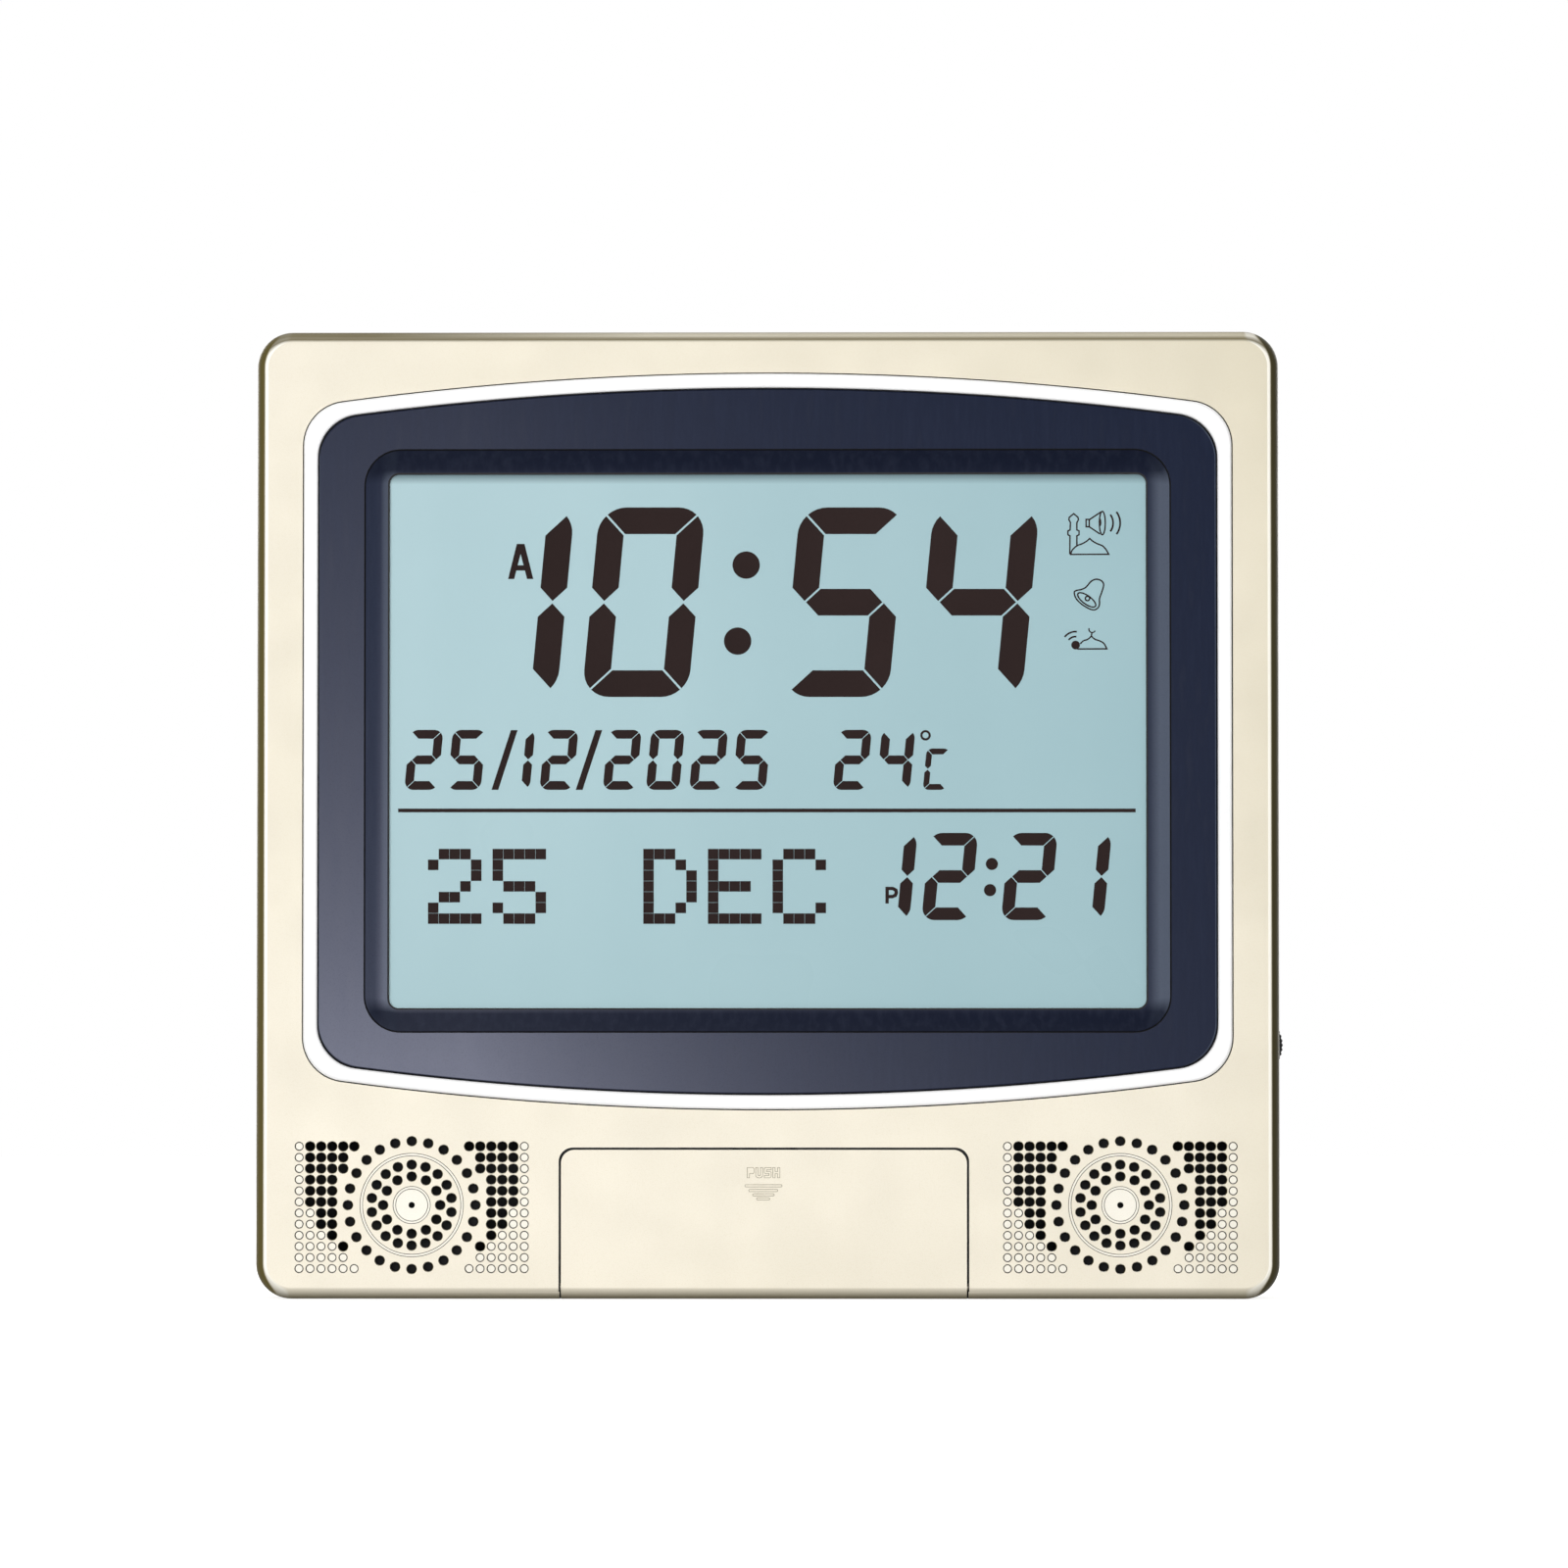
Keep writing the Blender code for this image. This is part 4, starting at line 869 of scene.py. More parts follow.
def cut_grilles(shell):
    holes, dimples, centres = grille_places()
    deep = wall + overrun
    spread = hole_radius + chamfer
    hole = ((spread, -chamfer), (spread, 0.0), (hole_radius, chamfer), (hole_radius, deep))
    cut(shell, turned(holes, hole, hole_sides, "paint", "drilled", slots=(0, 0, 1)))
    hole = ((centre_hole_radius, -chamfer), (centre_hole_radius, deep))
    cut(shell, turned(centres, hole, hole_sides, "paint", "drilled", slots=(1,)))
    # The walls of dimples and channels take the dark copy of the paint, painted shade; their floors
    # and the centre disc take the paler copy, a painted highlight
    dimple = (
        (dimple_radius, -chamfer), (dimple_radius, 0.0), (dimple_floor_radius, dimple_depth)
    )
    walls = ("painted_recess_shade", "pale")
    cut(shell, turned(dimples, dimple, hole_sides, *walls, slots=(0, 0), caps=(0, 1)))
    slots = (0, 0, 1, 0, 0, 0)
    for inner, outer in channels:
        channel = (
            (outer, -chamfer), (outer, 0.0), (outer - channel_slope, channel_depth),
            (inner + channel_slope, channel_depth), (inner, 0.0), (inner, -chamfer),
        )
        cut(shell, turned(centres, channel, channel_sides, *walls, looped=True, slots=slots))
    disc = [(channels[1][0], depth) for depth in (-chamfer, disc_depth)]
    cut(shell, turned(centres, disc, channel_sides, *walls, slots=(0,), caps=(0, 1)))


def make_front_shell():
    rings = layers(
        *[(housing_outline(inset), front_y + y) for inset, y in edge_rounding()],
        (housing_outline(0.0), parting_y),
        (housing_outline(wall), parting_y),
        (housing_outline(wall), inner_front_y),
    )
    slots = [0] * (len(rings) - 3) + [0, 1]
    shell = skinned(rings, "paint", "inside", slots=slots, caps=(0, 1))
    near_y = front_y - overrun
    window = window_outline(fit_gap, band_corner_radius + fit_gap)
    # The window's cut wall takes the darker copy of the paint, painted shade beside the ring
    cut(shell, blocks([window], near_y, inner_front_y + overrun, "edge"))
    door_room_y = door_axis[0] + edge_radius + fit_gap
    # The door's opening and a shallow flare round it are black; on the flare this is painted shade
    # that widens the dark seam
    for flare, far_y in ((0.0, door_room_y), (seam_flare, front_y + seam_flare_depth)):
        half, high = door_half_width + door_seam + flare, door_high + door_seam + flare
        opening = rounded_outline(half, -door_high, high, door_corner_radius + flare, door_x)
        cut(shell, blocks([opening], near_y, far_y, "inside"))
    lugs = [
        box_outline(lug_thickness / 2, wall - overlap, wall + lug_reach, door_x + lug_x)
        for lug_x in (-lug_side - lug_thickness / 2, lug_side + lug_thickness / 2)
    ]
    join(shell, blocks(lugs, inner_front_y - overlap, inner_front_y + lug_reach, "inside"))
    reach = door_half_width + door_seam + lug_thickness + overrun
    cut(shell, pin((door_x - reach, door_x + reach), door_axis, pin_radius + fit_gap))
    root_y = inner_front_y - overlap
    posts = (volume_post,)
    join(shell, rods(cover_bosses, root_y, boss_end_y, boss_radius, "inside"))
    join(shell, rods(posts, root_y, volume_board_y - fit_gap, small_boss_radius, "inside"))
    cut(shell, rods(cover_bosses, cover_pilot_y, boss_end_y + overrun, pilot_radius))
    cut(shell, rods(posts, volume_pilot_y, volume_board_y + overrun, pilot_radius))
    near_y, far_y = wheel_near_y - wheel_clearance, wheel_far_y + wheel_clearance
    room = wheel_radius + wheel_clearance
    cut(shell, rods((wheel_place,), near_y, far_y, room, sides=wheel_sides))
    cut_grilles(shell)
    stand_in(shell, "front_shell")


def make_accent_ring():
    back = flange_y - fit_gap
    middle = (-ring_edge, ring_top_y + ring_edge)
    outer = sweep(middle, ring_edge, 0.0, -pi / 2, ring_edge_steps)
    inner = [(-ring_band - grow, y) for grow, y in reversed(outer)]
    section = [(0.0, back)] + outer + inner + [(-ring_band, back)]
    rings = layers(*[(window_outline(grow), y) for grow, y in section])
    ring = skinned(rings, "white", looped=True)
    stand_in(ring, "accent_ring", limit=ring_smooth_limit)


def make_display_frame():
    flange = window_outline(flange_reach, ring_corner_radius + flange_reach)
    wide = bowed_outline(bevel_half_width, bevel_low, bevel_high, bevel_corner_radius)
    narrow, pocket, rib = [
        bowed_outline(sight_half_width + grow, sight_low - grow, sight_high + grow, radius)
        for grow, radius in (
            (0.0, sight_corner_radius),
            (pocket_margin, pocket_corner_radius),
            (pocket_margin + pocket_rib, pocket_corner_radius + pocket_rib),
        )
    ]
    width = bevel_half_width - sight_half_width
    slope = cove_start - (sight_y - fascia_y) / width
    crease = crease_width / width
    bevel = [(-crease, 0.0), (-mid_edge * crease, crease_depth), (0.0, mid_edge * crease_depth)]
    for share in [k / cove_steps for k in range(1, cove_steps)] + [lip_start, 1.0]:
        bevel.append((share, width * share * (cove_start - slope * share)))
    edge = window_outline(-frame_inset)
    rings = layers(
        (flange, flange_y),
        (edge, flange_y),
        (edge, fascia_y + fascia_edge),
        (window_outline(-frame_inset - mid_edge * fascia_edge), fascia_y + mid_edge * fascia_edge),
        (window_outline(-frame_inset - fascia_edge), fascia_y),
        *[(blend_outlines(wide, narrow, share), fascia_y + depth) for share, depth in bevel],
        (narrow, pocket_y),
        (pocket, pocket_y),
        (pocket, pocket_back_y),
        (rib, pocket_back_y),
        (rib, flange_back_y),
        (flange, flange_back_y),
    )
    # Black bands: the flange, the outer wall beside the ring, and the crease and the lip, where the
    # black is painted shade
    slots = [0] * len(rings)
    lip = 5 + len(bevel)
    for first in (0, 5, lip - 2):
        slots[first:first + 2] = (1, 1)
    made = skinned(rings, "navy", "inside", looped=True, slots=slots)
    join(made, rods(board_bosses, flange_back_y - overlap, pocket_back_y, small_boss_radius))
    cut(made, rods(board_bosses, frame_pilot_y, pocket_back_y + overrun, pilot_radius))
    stand_in(made, "display_frame")


# Marks on the display and the door

def on_plane(place, y):
    """The point at depth y that the camera sees at this place on the photograph."""
    view = bpy.context.scene.camera.matrix_world
    across, down = place
    half = photo_side / 2
    aim = Vector(((across - half) / focal_pixels, (half - down) / focal_pixels, -1))
    ray = view.to_3x3() @ aim
    start = view.translation
    return start + ray * ((y - start.y) / ray.y)


def make_plate(name, shapes, near_y, far_y, look, body):
    """A thin plate from overlapping outlines in the photograph's pixels."""
    points, faces = [], []
    for shape in shapes:
        faces.append(list(range(len(points), len(points) + len(shape))))
        seen = [on_plane(place, near_y) for place in shape]
        flat = [Vector((point.x, point.z)) for point in seen]
        turn = sum(a.cross(b) for a, b in zip(flat, flat[1:] + flat[:1]))
        points += flat if turn > 0 else flat[::-1]
    flat, _, triangles, _, _, origins = geometry.delaunay_2d_cdt(points, [], faces, 1, 1e-8)
    mesh = bmesh.new()
    verts = [mesh.verts.new((point.x, near_y, point.y)) for point in flat]
    for triangle, origin in zip(triangles, origins):
        if origin:
            mesh.faces.new([verts[i] for i in triangle])
    for vert in [vert for vert in mesh.verts if not vert.link_faces]:
        mesh.verts.remove(vert)
    made = bmesh.ops.extrude_face_region(mesh, geom=mesh.faces[:])["geom"]
    moved = [item for item in made if isinstance(item, bmesh.types.BMVert)]
    bmesh.ops.translate(mesh, verts=moved, vec=(0.0, far_y - near_y, 0.0))
    plate = object_from(mesh, (look,), name)
    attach(plate, body)


def ribbon(path, width, closed=False):
    """Quads that follow a path with an even width."""
    points = [Vector(point) for point in path]
    count = len(points)
    sides = []
    for i, point in enumerate(points):
        before = points[i - 1] if i or closed else None
        after = points[(i + 1) % count] if i + 1 < count or closed else None
        first = (point - before).normalized() if before else (after - point).normalized()
        second = (after - point).normalized() if after else first
        square = Vector((-first.y, first.x))
        normal = (square + Vector((-second.y, second.x))).normalized()
        reach = width / 2 / max(0.35, normal.dot(square))
        sides.append((tuple(point + normal * reach), tuple(point - normal * reach)))
    pairs = list(zip(sides, sides[1:] + sides[:1]))
    return [[a, c, d, b] for (a, b), (c, d) in (pairs if closed else pairs[:-1])]


def ribbons(paths, width, closed=False):
    return [quad for path in paths for quad in ribbon(path, width, closed)]


def disc(middle, radius, sides=32, height=None):
    x, y = middle
    tall = height or radius
    angles = [2 * pi * k / sides for k in range(sides)]
    return [(x + radius * cos(a), y + tall * sin(a)) for a in angles]


def arc(middle, radius, start, end, steps=14):
    """An arc on the photograph, whose Y runs down; its ends are in degrees."""
    return sweep(middle, radius, radians(-start), radians(-end), steps)


def segment_shapes(width, height, stroke, gap):
    """A digit's seven segments, upright, with x to the right and z up from the baseline."""
    radius = 1.02 * stroke
    lean = degrees(asin(gap / 2 / radius))
    set_back = gap / sqrt(2)
    tip = 0.6 * gap
    middle = height / 2

    def corner(start, end):
        return [(radius + x, height - radius - y) for x, y in arc((0, 0), radius, start, end, 4)]

    def flip_x(shape):
        return [(width - x, z) for x, z in shape]

    def flip_z(shape):
        return [(x, height - z) for x, z in shape]

    left = [(stroke + set_back, height - stroke)] + corner(135 - lean, 90)
    top = left + flip_x(left)[::-1]
    upper = [
        (stroke, height - stroke - set_back),
        (stroke, middle + stroke / 2 + tip),
        (stroke / 2, middle + tip),
        (0.0, middle + stroke / 2 + tip),
    ] + corner(180, 135 + lean)
    start = stroke / 2 + sqrt(2) * gap - tip
    end = width - start
    low, high = middle - stroke / 2, middle + stroke / 2
    bar = [
        (start, middle), (start + stroke / 2, high), (end - stroke / 2, high),
        (end, middle), (end - stroke / 2, low), (start + stroke / 2, low),
    ]
    return {
        "a": top, "d": flip_z(top), "f": upper, "b": flip_x(upper), "e": flip_z(upper),
        "c": flip_z(flip_x(upper)), "g": bar,
    }


def digits(places, base, size):
    """Slanted digits on a baseline, each given by its sign and its lower left corner."""
    shapes = segment_shapes(*size)
    return [
        [(left + x + slant * z, base - z) for x, z in shapes[key]]
        for sign, left in places for key in lit[sign]
    ]


def dot_sign(sign, left):
    cells = []
    for row, marks in enumerate(dot_signs[sign]):
        for column, mark in enumerate(marks):
            if mark == "#":
                x, y = left + dot_pitch * column, dot_top + dot_pitch * row
                right, low = x + dot_side, y + dot_side
                cells.append([(x, y), (right, y), (right, low), (x, low)])
    return cells


def flowing(points, closed=False, steps=4):
    """The path through the points, rounded as a Catmull-Rom curve."""
    count = len(points)
    path = []
    for i in range(count if closed else count - 1):
        near = [i + k for k in (-1, 0, 1, 2)]
        near = [k % count if closed else min(max(k, 0), count - 1) for k in near]
        p, q, r, s = (Vector(points[k]) for k in near)
        for k in range(steps):
            t = k / steps
            spot = 0.5 * (2 * q + (r - p) * t + (2 * p - 5 * q + 4 * r - s) * t * t
                          + (3 * q - p - 3 * r + s) * t * t * t)
            path.append(tuple(spot))
    return path if closed else path + [tuple(points[-1])]


def tilted(points, middle, angle):
    turn = radians(angle)
    a, b = cos(turn), sin(turn)
    x, y = middle
    return [(x + (u - x) * a - (v - y) * b, y + (u - x) * b + (v - y) * a) for u, v in points]


def icon(*paths):
    """Places on the photograph from an enlarged drawing of its upper right corner."""
    left, top = icon_corner
    return [[(left + x / icon_scale, top + y / icon_scale) for x, y in path] for path in paths]


def icon_shapes():
    minaret = (
        (620, 548), (620, 488), (634, 481), (634, 456), (620, 450), (620, 402), (630, 386),
        (628, 370), (600, 346), (571, 370), (569, 386), (579, 402), (577, 450), (563, 456),
        (563, 481), (576, 488), (575, 606),
    )
    bell = (
        (603, 852), (616, 838), (650, 831), (680, 815), (708, 782), (735, 767), (762, 768),
        (786, 784), (791, 808), (778, 852), (765, 890), (765, 925), (754, 950), (730, 962),
        (698, 954), (650, 925), (616, 890),
    )
    dome = flowing(((582, 606), (590, 580), (620, 552), (655, 538), (684, 521), (702, 505)))
    dome += flowing(((702, 505), (720, 521), (750, 538), (784, 552), (808, 578), (824, 606)))[1:]
    low_dome = flowing(((641, 1180), (662, 1160), (690, 1150), (713, 1130)))
    low_dome += flowing(((713, 1130), (735, 1150), (766, 1160), (794, 1178), (812, 1211)))[1:]
    horn = ((679, 383), (699, 383), (699, 430), (679, 430))
    mouth = disc((783, 406), 19, 30, 75)
    waves = [arc(middle, reach, -36, 36) for middle, reach in (((760, 406), 92), ((775, 406), 122))]
    low_waves = [arc((612, 1190), reach, 85, 142) for reach in (57, 89)]
    foot = tilted(disc((683, 898), 69, 30, 27), (683, 898), 36)
    shapes = ribbons(icon(minaret, dome + [(576, 607)]), icon_line)
    shapes += ribbons(icon(horn), icon_line, True)
    shapes += ribbons(icon(((699, 385), (776, 334)), ((699, 430), (768, 476))), icon_line)
    shapes += ribbons(icon(mouth), icon_line, True)
    shapes += icon(disc((768, 402), 9, 20, 26))
    shapes += ribbons(icon(*waves), wave_line)
    shapes += ribbons(icon(flowing(bell, True, 3), foot, disc((688, 889), 14, 20)), icon_line, True)
    shapes += ribbons(icon(low_dome + [(622, 1212)], ((713, 1130), (716, 1106))), icon_line)
    shapes += ribbons(icon(arc((718, 1086), 21, 160, 335)), crescent_line)
    shapes += ribbons(icon(*low_waves), low_wave_line)
    return shapes + icon(disc((612, 1187), 28))


def make_display_marks():
    time = digits(time_digits, time_base, time_size)
    time += [disc(middle, time_dot) for middle in ((761.4, 576.6), (752.7, 654.2))]
    date = digits(date_digits, date_base, date_size)
    for left, right in date_strokes:
        low, high = (left + stroke_width, date_base), (right - stroke_width, stroke_top)
        date.append([(left, date_base), low, (right, stroke_top), high])
    date += digits((("C", 941.6),), date_base, unit_size)
    date += ribbon(disc((944.4, 750.3), degree_radius), degree_line, True)
    later = digits(next_digits, next_base, next_size)
    later += [disc(middle, next_dot) for middle in ((1012.1, 881.6), (1010.2, 908.3))]
    words = [cell for sign, left in dot_places for cell in dot_sign(sign, left)]
    bar = [[(406.2, 825.1), (1158.8, 825.1), (1158.8, 828.9), (406.2, 828.9)]]
    halves = [
        [(518.4, 590.8), (524.7, 590.8), (533.9, 555.0), (527.4, 555.0)],
        [(537.8, 590.8), (544.2, 590.8), (535.2, 555.0), (528.6, 555.0)],
        [(522.0, 576.8), (540.4, 576.8), (541.6, 582.2), (520.8, 582.2)],
    ] + ribbon((
        (905.2, 922.0), (905.2, 906.6), (911.0, 906.6), (914.2, 908.4),
        (914.6, 911.2), (913.6, 913.6), (910.6, 914.9), (905.2, 914.9),
    ), 3.5)
    near_y, far_y = glass_y - mark_rise, glass_y + mark_sink
    for name, shapes in (
        ("display_time", time),
        ("display_date", date),
        ("display_next_time", later),
        ("display_words", words),
        ("display_divider", bar),
        ("display_halves", halves),
        ("display_icons", icon_shapes()),
    ):
        make_plate(name, shapes, near_y, far_y, "mark", "housing")


def make_push_marks():
    """The raised outlines of the word and the four bars that show where to push."""
    wide, tall, stroke, top = 7.1, 10.4, 2.3, 1191.4
    inner, foot = wide - stroke, tall - stroke
    letters = {
        "P": [(0, 0), (0, tall), (stroke, tall), (stroke, 6.2), (wide - 1, 6.2), (wide, 5),
              (wide, 1.2), (wide - 1, 0)],
        "U": [(0, 0), (0, tall - 2.4), (0.7, tall - 0.7), (2.4, tall), (wide - 2.4, tall),
              (wide - 0.7, tall - 0.7), (wide, tall - 2.4), (wide, 0), (inner, 0),
              (inner, tall - 2.8), (wide - 2.9, tall - 2.1), (2.9, tall - 2.1),
              (stroke, tall - 2.8), (stroke, 0)],
        "S": [(1, 0), (0, 1), (0, 5), (1, 6.2), (inner, 6.2), (inner, foot), (0, foot), (0, tall),
              (wide - 1, tall), (wide, tall - 1), (wide, 5.2), (wide - 1, 4.2), (stroke, 4.2),
              (stroke, stroke), (wide, stroke), (wide, 0)],
        "H": [(0, 0), (0, tall), (stroke, tall), (stroke, 6.2), (inner, 6.2), (inner, tall),
              (wide, tall), (wide, 0), (inner, 0), (inner, 4.2), (stroke, 4.2), (stroke, 0)],
    }
    word = []
    for number, letter in enumerate("PUSH"):
        left = 762.4 + 8.75 * number
        word += ribbon([(left + x, top + y) for x, y in letters[letter]], 0.45, True)
    bars = []
    half = 1.15
    for left, right, y in (
        (760.0, 798.0, 1210.0), (764.0, 793.6, 1214.8),
        (768.0, 790.0, 1219.2), (772.0, 785.4, 1223.4),
    ):
        ends = arc((left + half, y), half, 90, 270, 6) + arc((right - half, y), half, -90, 90, 6)
        bars += ribbon(ends, 0.5, True)
    # The relief colour is a darker copy of the paint, painted shade along the raised outlines
    near_y, far_y = front_y - push_rise, front_y + push_sink
    for name, shapes in (("door_push_word", word), ("door_push_bars", bars)):
        make_plate(name, shapes, near_y, far_y, "relief", "door")


# Door

def door_section(x, high):
    end = 2 * pi - acos((door_back_y - door_axis[0]) / edge_radius)
    barrel = sweep(door_axis, edge_radius, pi, pi + end, barrel_steps)
    return at_width([(front_y, high)] + barrel + [(door_back_y, high)], x)


def make_control_door():
    door = skinned([
        door_section(door_x + x, door_high - inset)
        for x, inset in rounded_ends(door_half_width, door_corner_radius, corner_steps)
    ], "paint", "inside")
    for face in door.data.polygons:
        if face.normal.z > 0.5 and face.center.z > door_high / 2 or abs(face.normal.x) > 0.5:
            face.material_index = 1
    for side in (-1, 1):
        reaches = (door_half_width - overrun, door_half_width + pin_length)
        join(door, pin([door_x + side * reach for reach in reaches], door_axis, pin_radius))
    root_y, tip_y = door_back_y - overlap, door_back_y + tab_length
    nose_y = tip_y - tab_nose
    top = tab_low + tab_thickness
    tab = (
        (root_y, tab_low), (tip_y, tab_low), (tip_y, top),
        (nose_y + tab_nose / 2, top + tab_nose_rise), (nose_y, top + tab_nose_rise),
        (nose_y, top), (root_y, top),
    )
    ends = (door_x - tab_half_width, door_x + tab_half_width)
    join(door, skinned([at_width(tab, x) for x in ends], "inside"))
    stand_in(door, "control_door", "door")
    make_push_marks()


# Tray and buttons

def button_outline(place, grow=0.0):
    x, z = place
    tall = button_half_height + grow
    half, radius = button_half_width + grow, button_radius + grow
    return rounded_outline(half, z - tall, z + tall, radius, x, button_steps)


def button_places():
    return [(door_x + step * button_pitch, z) for z in button_rows for step in (-1, 0, 1)]


def make_control_tray():
    outer = box_outline(tray_half_width, tray_low, tray_high, door_x)
    tray = blocks([outer], flange_y, tray_back_y, "tray")
    half, high = tray_half_width - tray_wall, tray_high - tray_wall
    cut(tray, blocks([box_outline(half, tray_low - overrun, high, door_x)], front_y, tray_floor_y))
    holes = [button_outline(place, fit_gap) for place in button_places()]
    cut(tray, blocks(holes, tray_floor_y - overrun, tray_back_y + overrun))
    end_y = button_board_y - fit_gap
    join(tray, rods(tray_bosses, tray_back_y - overlap, end_y, small_boss_radius))
    cut(tray, rods(tray_bosses, tray_pilot_y, end_y + overrun, pilot_radius))
    stand_in(tray, "control_tray")


def make_buttons():
    for number, place in enumerate(button_places(), 1):
        flange, stem = button_outline(place, button_flange), button_outline(place)
        button = skinned(layers(
            (flange, button_back_y),
            (flange, button_flange_y),
            (stem, button_flange_y),
            *[(button_outline(place, grow), button_front_y + y) for grow, y in button_crown],
        ), "button")
        stand_in(button, f"button_{number}", f"key_{number}")


# Wheel

def ridged(drop):
    """The wheel's ridged outline, smaller by a drop."""
    x, z = wheel_place
    count = ridge_steps * wheel_ridges
    outline = []
    for k in range(count):
        a = 2 * pi * k / count
        wave = (1 - cos(wheel_ridges * a)) / 2
        reach = wheel_radius - drop - ridge_depth * wave
        outline.append((x + reach * cos(a), z + reach * sin(a)))
    return outline


def make_volume_wheel():
    wheel = skinned(layers(
        (ridged(wheel_rim + wheel_edge), wheel_near_y + wheel_edge),
        (ridged(wheel_rim), wheel_near_y),
        (ridged(wheel_edge), wheel_near_y),
        (ridged(0.0), wheel_near_y + wheel_edge),
        (ridged(0.0), wheel_far_y - wheel_edge),
        (ridged(wheel_edge), wheel_far_y),
    ), "drilled")
    join(wheel, rods((wheel_place,), wheel_far_y - overlap, shaft_end_y, shaft_radius))
    stand_in(wheel, "volume_wheel", "wheel", wheel_smooth_limit)


# Back

def compartment_outline(grow):
    half, tall = compartment_half_width + grow, compartment_half_height + grow
    radius = max(compartment_corner, grow / 3)
    return rounded_outline(half, battery_z - tall, battery_z + tall, radius, 0.0, small_steps)


def make_rear_cover():
    tongue = wall + fit_gap
    inner = tongue + tongue_thickness
    seam_y, tip_y = parting_y + fit_gap, parting_y - tongue_length
    slope_start, slope_end = tongue_slope
    rings = layers(
        (housing_outline(wall), inner_back_y),
        (housing_outline(wall), seam_y + slope_end),
        (housing_outline(inner), seam_y + slope_start),
        (housing_outline(inner), tip_y),
        (housing_outline(tongue), tip_y),
        (housing_outline(tongue), seam_y),
        (housing_outline(0.0), seam_y),
        *[(housing_outline(inset), back_y - y) for inset, y in reversed(edge_rounding())],
    )
    slots = [1] * 5 + [0] * (len(rings) - 6)
    cover = skinned(rings, "rear", "inside", slots=slots, caps=(1, 0))
    far_y, root_y = back_y + overrun, inner_back_y + overlap
    rebate_y = back_y - rebate_depth
    slim, rim = compartment_outline(compartment_wall), compartment_outline(rim_reach)
    join(cover, skinned(layers(
        (slim, compartment_y - compartment_wall),
        (slim, rebate_y - rim_depth - rim_slope),
        (rim, rebate_y - rim_depth),
        (rim, root_y),
    ), "inside"))
    cut(cover, blocks([compartment_outline(0.0)], compartment_y, far_y, "rear"))
    cut(cover, blocks([compartment_outline(rebate_width)], rebate_y, far_y, "rear"))
    low, high = recess_low - recess_wall, recess_high + recess_wall
    walls = box_outline(recess_half_width + recess_wall, low, high)
    join(cover, blocks([walls], recess_y - recess_floor, root_y, "inside"))
    recess = box_outline(recess_half_width, recess_low, recess_high)
    cut(cover, blocks([recess], recess_y, far_y, "rear"))
    reach = leg_half_width + leg_pin_length + fit_gap
    cut(cover, pin((-reach, reach), leg_axis, leg_pin_radius + fit_gap))
    near_y = boss_end_y + fit_gap
    join(cover, rods(cover_bosses, near_y, root_y, column_radius, "inside"))
    cut(cover, rods(cover_bosses, near_y - overrun, far_y, pilot_radius))
    cut(cover, rods(cover_bosses, counterbore_y, far_y, counterbore_radius, "rear"))
    near_y = inner_back_y - overrun
    low, high = keyhole_z - keyhole_slot, keyhole_z + keyhole_length
    cut(cover, blocks([
        rounded_outline(keyhole_slot, low, high, keyhole_slot_radius, x, keyhole_slot_steps)
        for x in (-keyhole_x, keyhole_x)
    ], near_y, far_y))
    heads = ((keyhole_x, keyhole_z), (-keyhole_x, keyhole_z))
    cut(cover, rods(heads, near_y, far_y, keyhole_radius, sides=keyhole_sides))
    stand_in(cover, "rear_cover")


def make_battery_door():
    near_y = back_y - battery_door_thickness
    edges = (
        (fit_gap, near_y), (0.0, near_y + fit_gap), (0.0, back_y - fit_gap), (fit_gap, back_y)
    )
    grow = rebate_width - fit_gap
    door = skinned(layers(*[(compartment_outline(grow - inset), y) for inset, y in edges]), "rear")
    grooves = []
    for k in range(3):
        low = battery_z - groove_drop + groove_pitch * k
        ends = (low, low + groove_height, groove_end_radius)
        grooves.append(rounded_outline(groove_half_width, *ends, 0.0, small_steps))
    cut(door, blocks(grooves, back_y - groove_depth, back_y + overrun))
    stand_in(door, "battery_door", "battery_cover")


def make_stand_leg():
    radius = leg_thickness / 2
    head = sweep(leg_axis, radius, 0.0, pi, leg_head_steps)
    rings = []
    for x, inset in rounded_ends(leg_half_width, leg_foot_radius, leg_foot_steps):
        foot = [(leg_axis[0] + y, leg_low + inset) for y in (-radius, radius)]
        rings.append(at_width(foot + head, x))
    leg = skinned(rings, "rear")
    for side in (-1, 1):
        reaches = (leg_half_width - overrun, leg_half_width + leg_pin_length)
        join(leg, pin([side * reach for reach in reaches], leg_axis, leg_pin_radius))
    stand_in(leg, "stand_leg", "leg")


def make_batteries():
    half = cell_length / 2
    end = half - nub_length
    small, mid = cell_radius - cell_edge, cell_radius - mid_edge * cell_edge
    profile = (
        (small, -half), (mid, -half + mid_edge * cell_edge), (cell_radius, -half + cell_edge),
        (cell_radius, end - cell_edge), (mid, end - mid_edge * cell_edge), (small, end),
        (nub_radius, end), (nub_radius, half - nub_edge), (nub_radius - nub_edge, half),
    )
    slots = (1, 0, 0, 0, 1, 1, 1, 1)
    for number, side in ((1, 1), (2, -1)):
        axis = (cell_y, battery_z + side * cell_spacing / 2)
        rings = [at_width(circle(axis, radius, cell_sides), side * x) for radius, x in profile]
        cell = skinned(rings, f"cell_{number}", "nickel", slots=slots, caps=(1, 1))
        stand_in(cell, f"battery_{number}")


# Screws

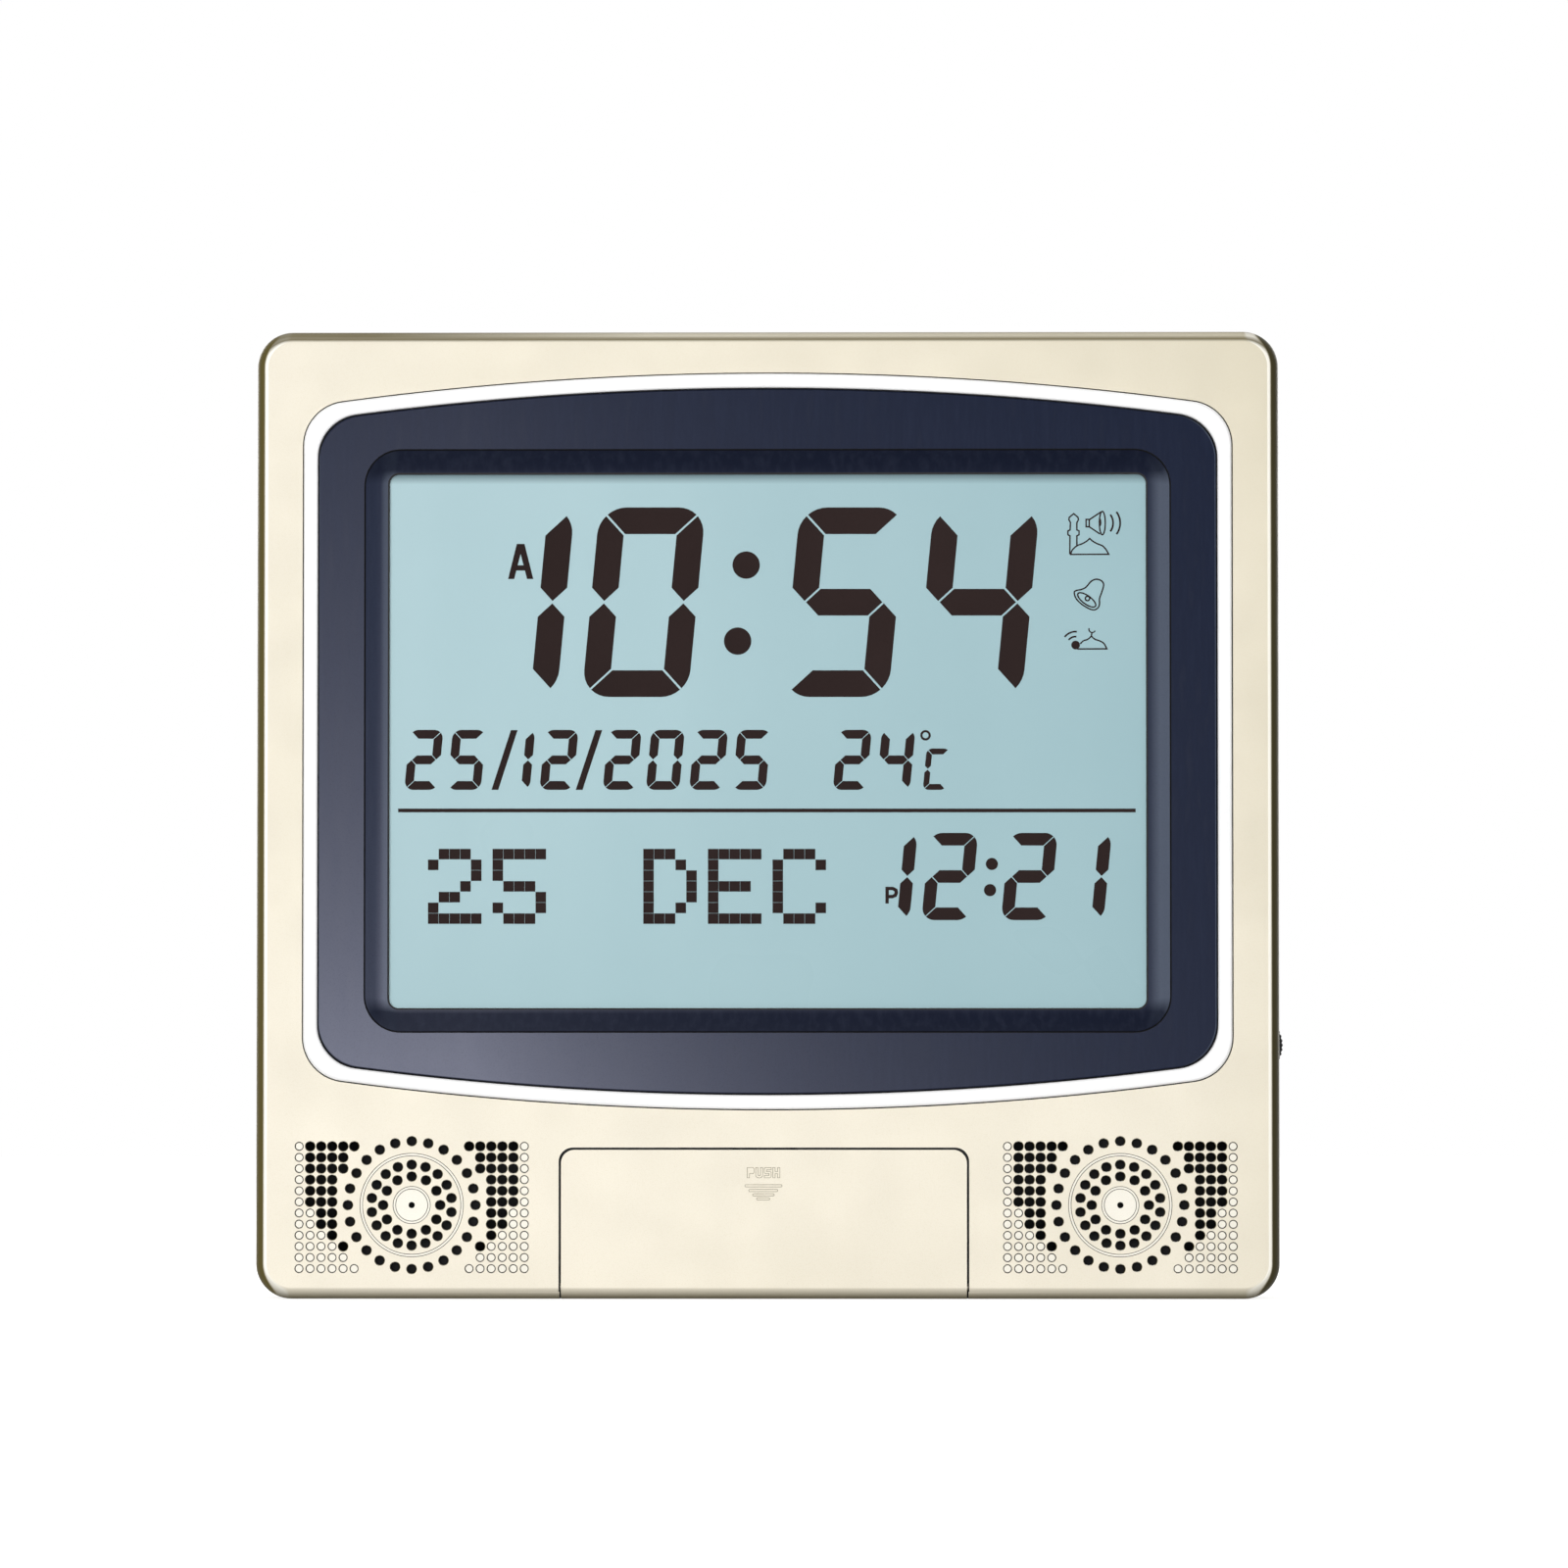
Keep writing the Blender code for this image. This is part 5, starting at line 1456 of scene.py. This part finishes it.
def make_screw(length):
    """A pan-head screw with a cross recess; its head's seat is at the origin, its head to +Y."""
    tip_radius, taper = screw_tip
    shank = ((tip_radius, -length), (shank_radius, taper - length), (shank_radius, 0.0))
    rings = [(circle((0.0, 0.0), radius, screw_sides), y) for radius, y in shank + screw_head]
    screw = skinned(layers(*rings), "steel")
    for wide, tall in cross_arms:
        low, high = [
            [(x * wide * size, z * tall * size) for x, z in ((1, -1), (1, 1), (-1, 1), (-1, -1))]
            for size in (cross_taper, 1.0)
        ]
        cut(screw, skinned(layers((low, cross_floor_y), (high, cross_top_y))))
    return screw


def make_screws():
    for name, places, y, length in screw_seats:
        for number, (x, z) in enumerate(places, 1):
            screw = make_screw(length)
            screw.location = (x, y, z)
            stand_in(screw, name.format(number))


def dress_nodes():
    for look, nodes in node_looks.items():
        for node in nodes:
            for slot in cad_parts[node].material_slots:
                slot.material = looks[look]


# Studio

def make_camera():
    data = bpy.data.cameras.new("camera")
    data.sensor_width = sensor
    data.lens = focal_pixels * sensor / photo_side
    data.clip_start = camera_clip
    camera = bpy.data.objects.new("camera", data)
    camera.location = camera_place
    camera.rotation_euler = (pi / 2 + camera_pitch, 0.0, -camera_turn)
    bpy.context.scene.collection.objects.link(camera)
    bpy.context.scene.camera = camera
    bpy.context.view_layer.update()


def make_floor():
    made = Finish("floor", (179, 179, 179), 0.9, 0.0, 0.0)
    length = made.add("ShaderNodeVectorMath", {0: made.place}, operation="LENGTH")
    glow = made.ranged(length.outputs["Value"], *floor_glow)
    made.shade("Emission Color", bright)
    made.shade("Emission Strength", made.times(made.seen_plainly(), glow))
    mesh = bmesh.new()
    mesh.faces.new([
        mesh.verts.new((x, z, 0.0)) for x, z in box_outline(floor_reach, -floor_reach, floor_reach)
    ])
    floor = object_from(mesh, ("floor",), "floor")
    floor.location.z = -floor_drop


def make_world():
    bpy.context.scene.view_settings.view_transform = "Standard"
    world = bpy.data.worlds.new("studio")
    bpy.context.scene.world = world
    world.use_nodes = True
    world.node_tree.nodes.clear()
    made = Nodes(world.node_tree)
    soft = made.add("ShaderNodeBackground", {"Color": bright, "Strength": world_strength})
    seen = made.add("ShaderNodeBackground", {"Color": bright})
    shares = {0: made.seen_plainly(), 1: soft.outputs[0], 2: seen.outputs[0]}
    mix = made.add("ShaderNodeMixShader", shares)
    made.add("ShaderNodeOutputWorld", {"Surface": mix.outputs[0]})


def make_lamps():
    for name, (place, (wide, tall), power) in lamps.items():
        data = bpy.data.lights.new(name, "AREA")
        data.shape = "RECTANGLE"
        data.size = wide
        data.size_y = tall
        data.energy = power
        lamp = bpy.data.objects.new(name, data)
        lamp.location = place
        aim = Vector(lamp_aim) - Vector(place)
        lamp.rotation_euler = aim.to_track_quat("-Z", "Y").to_euler()
        lamp.visible_camera = False
        bpy.context.scene.collection.objects.link(lamp)


make_camera()
make_materials()
make_front_shell()
make_accent_ring()
make_display_frame()
make_display_marks()
make_control_door()
make_control_tray()
make_buttons()
make_volume_wheel()
make_rear_cover()
make_battery_door()
make_stand_leg()
make_batteries()
make_screws()
dress_nodes()
make_floor()
make_world()
make_lamps()
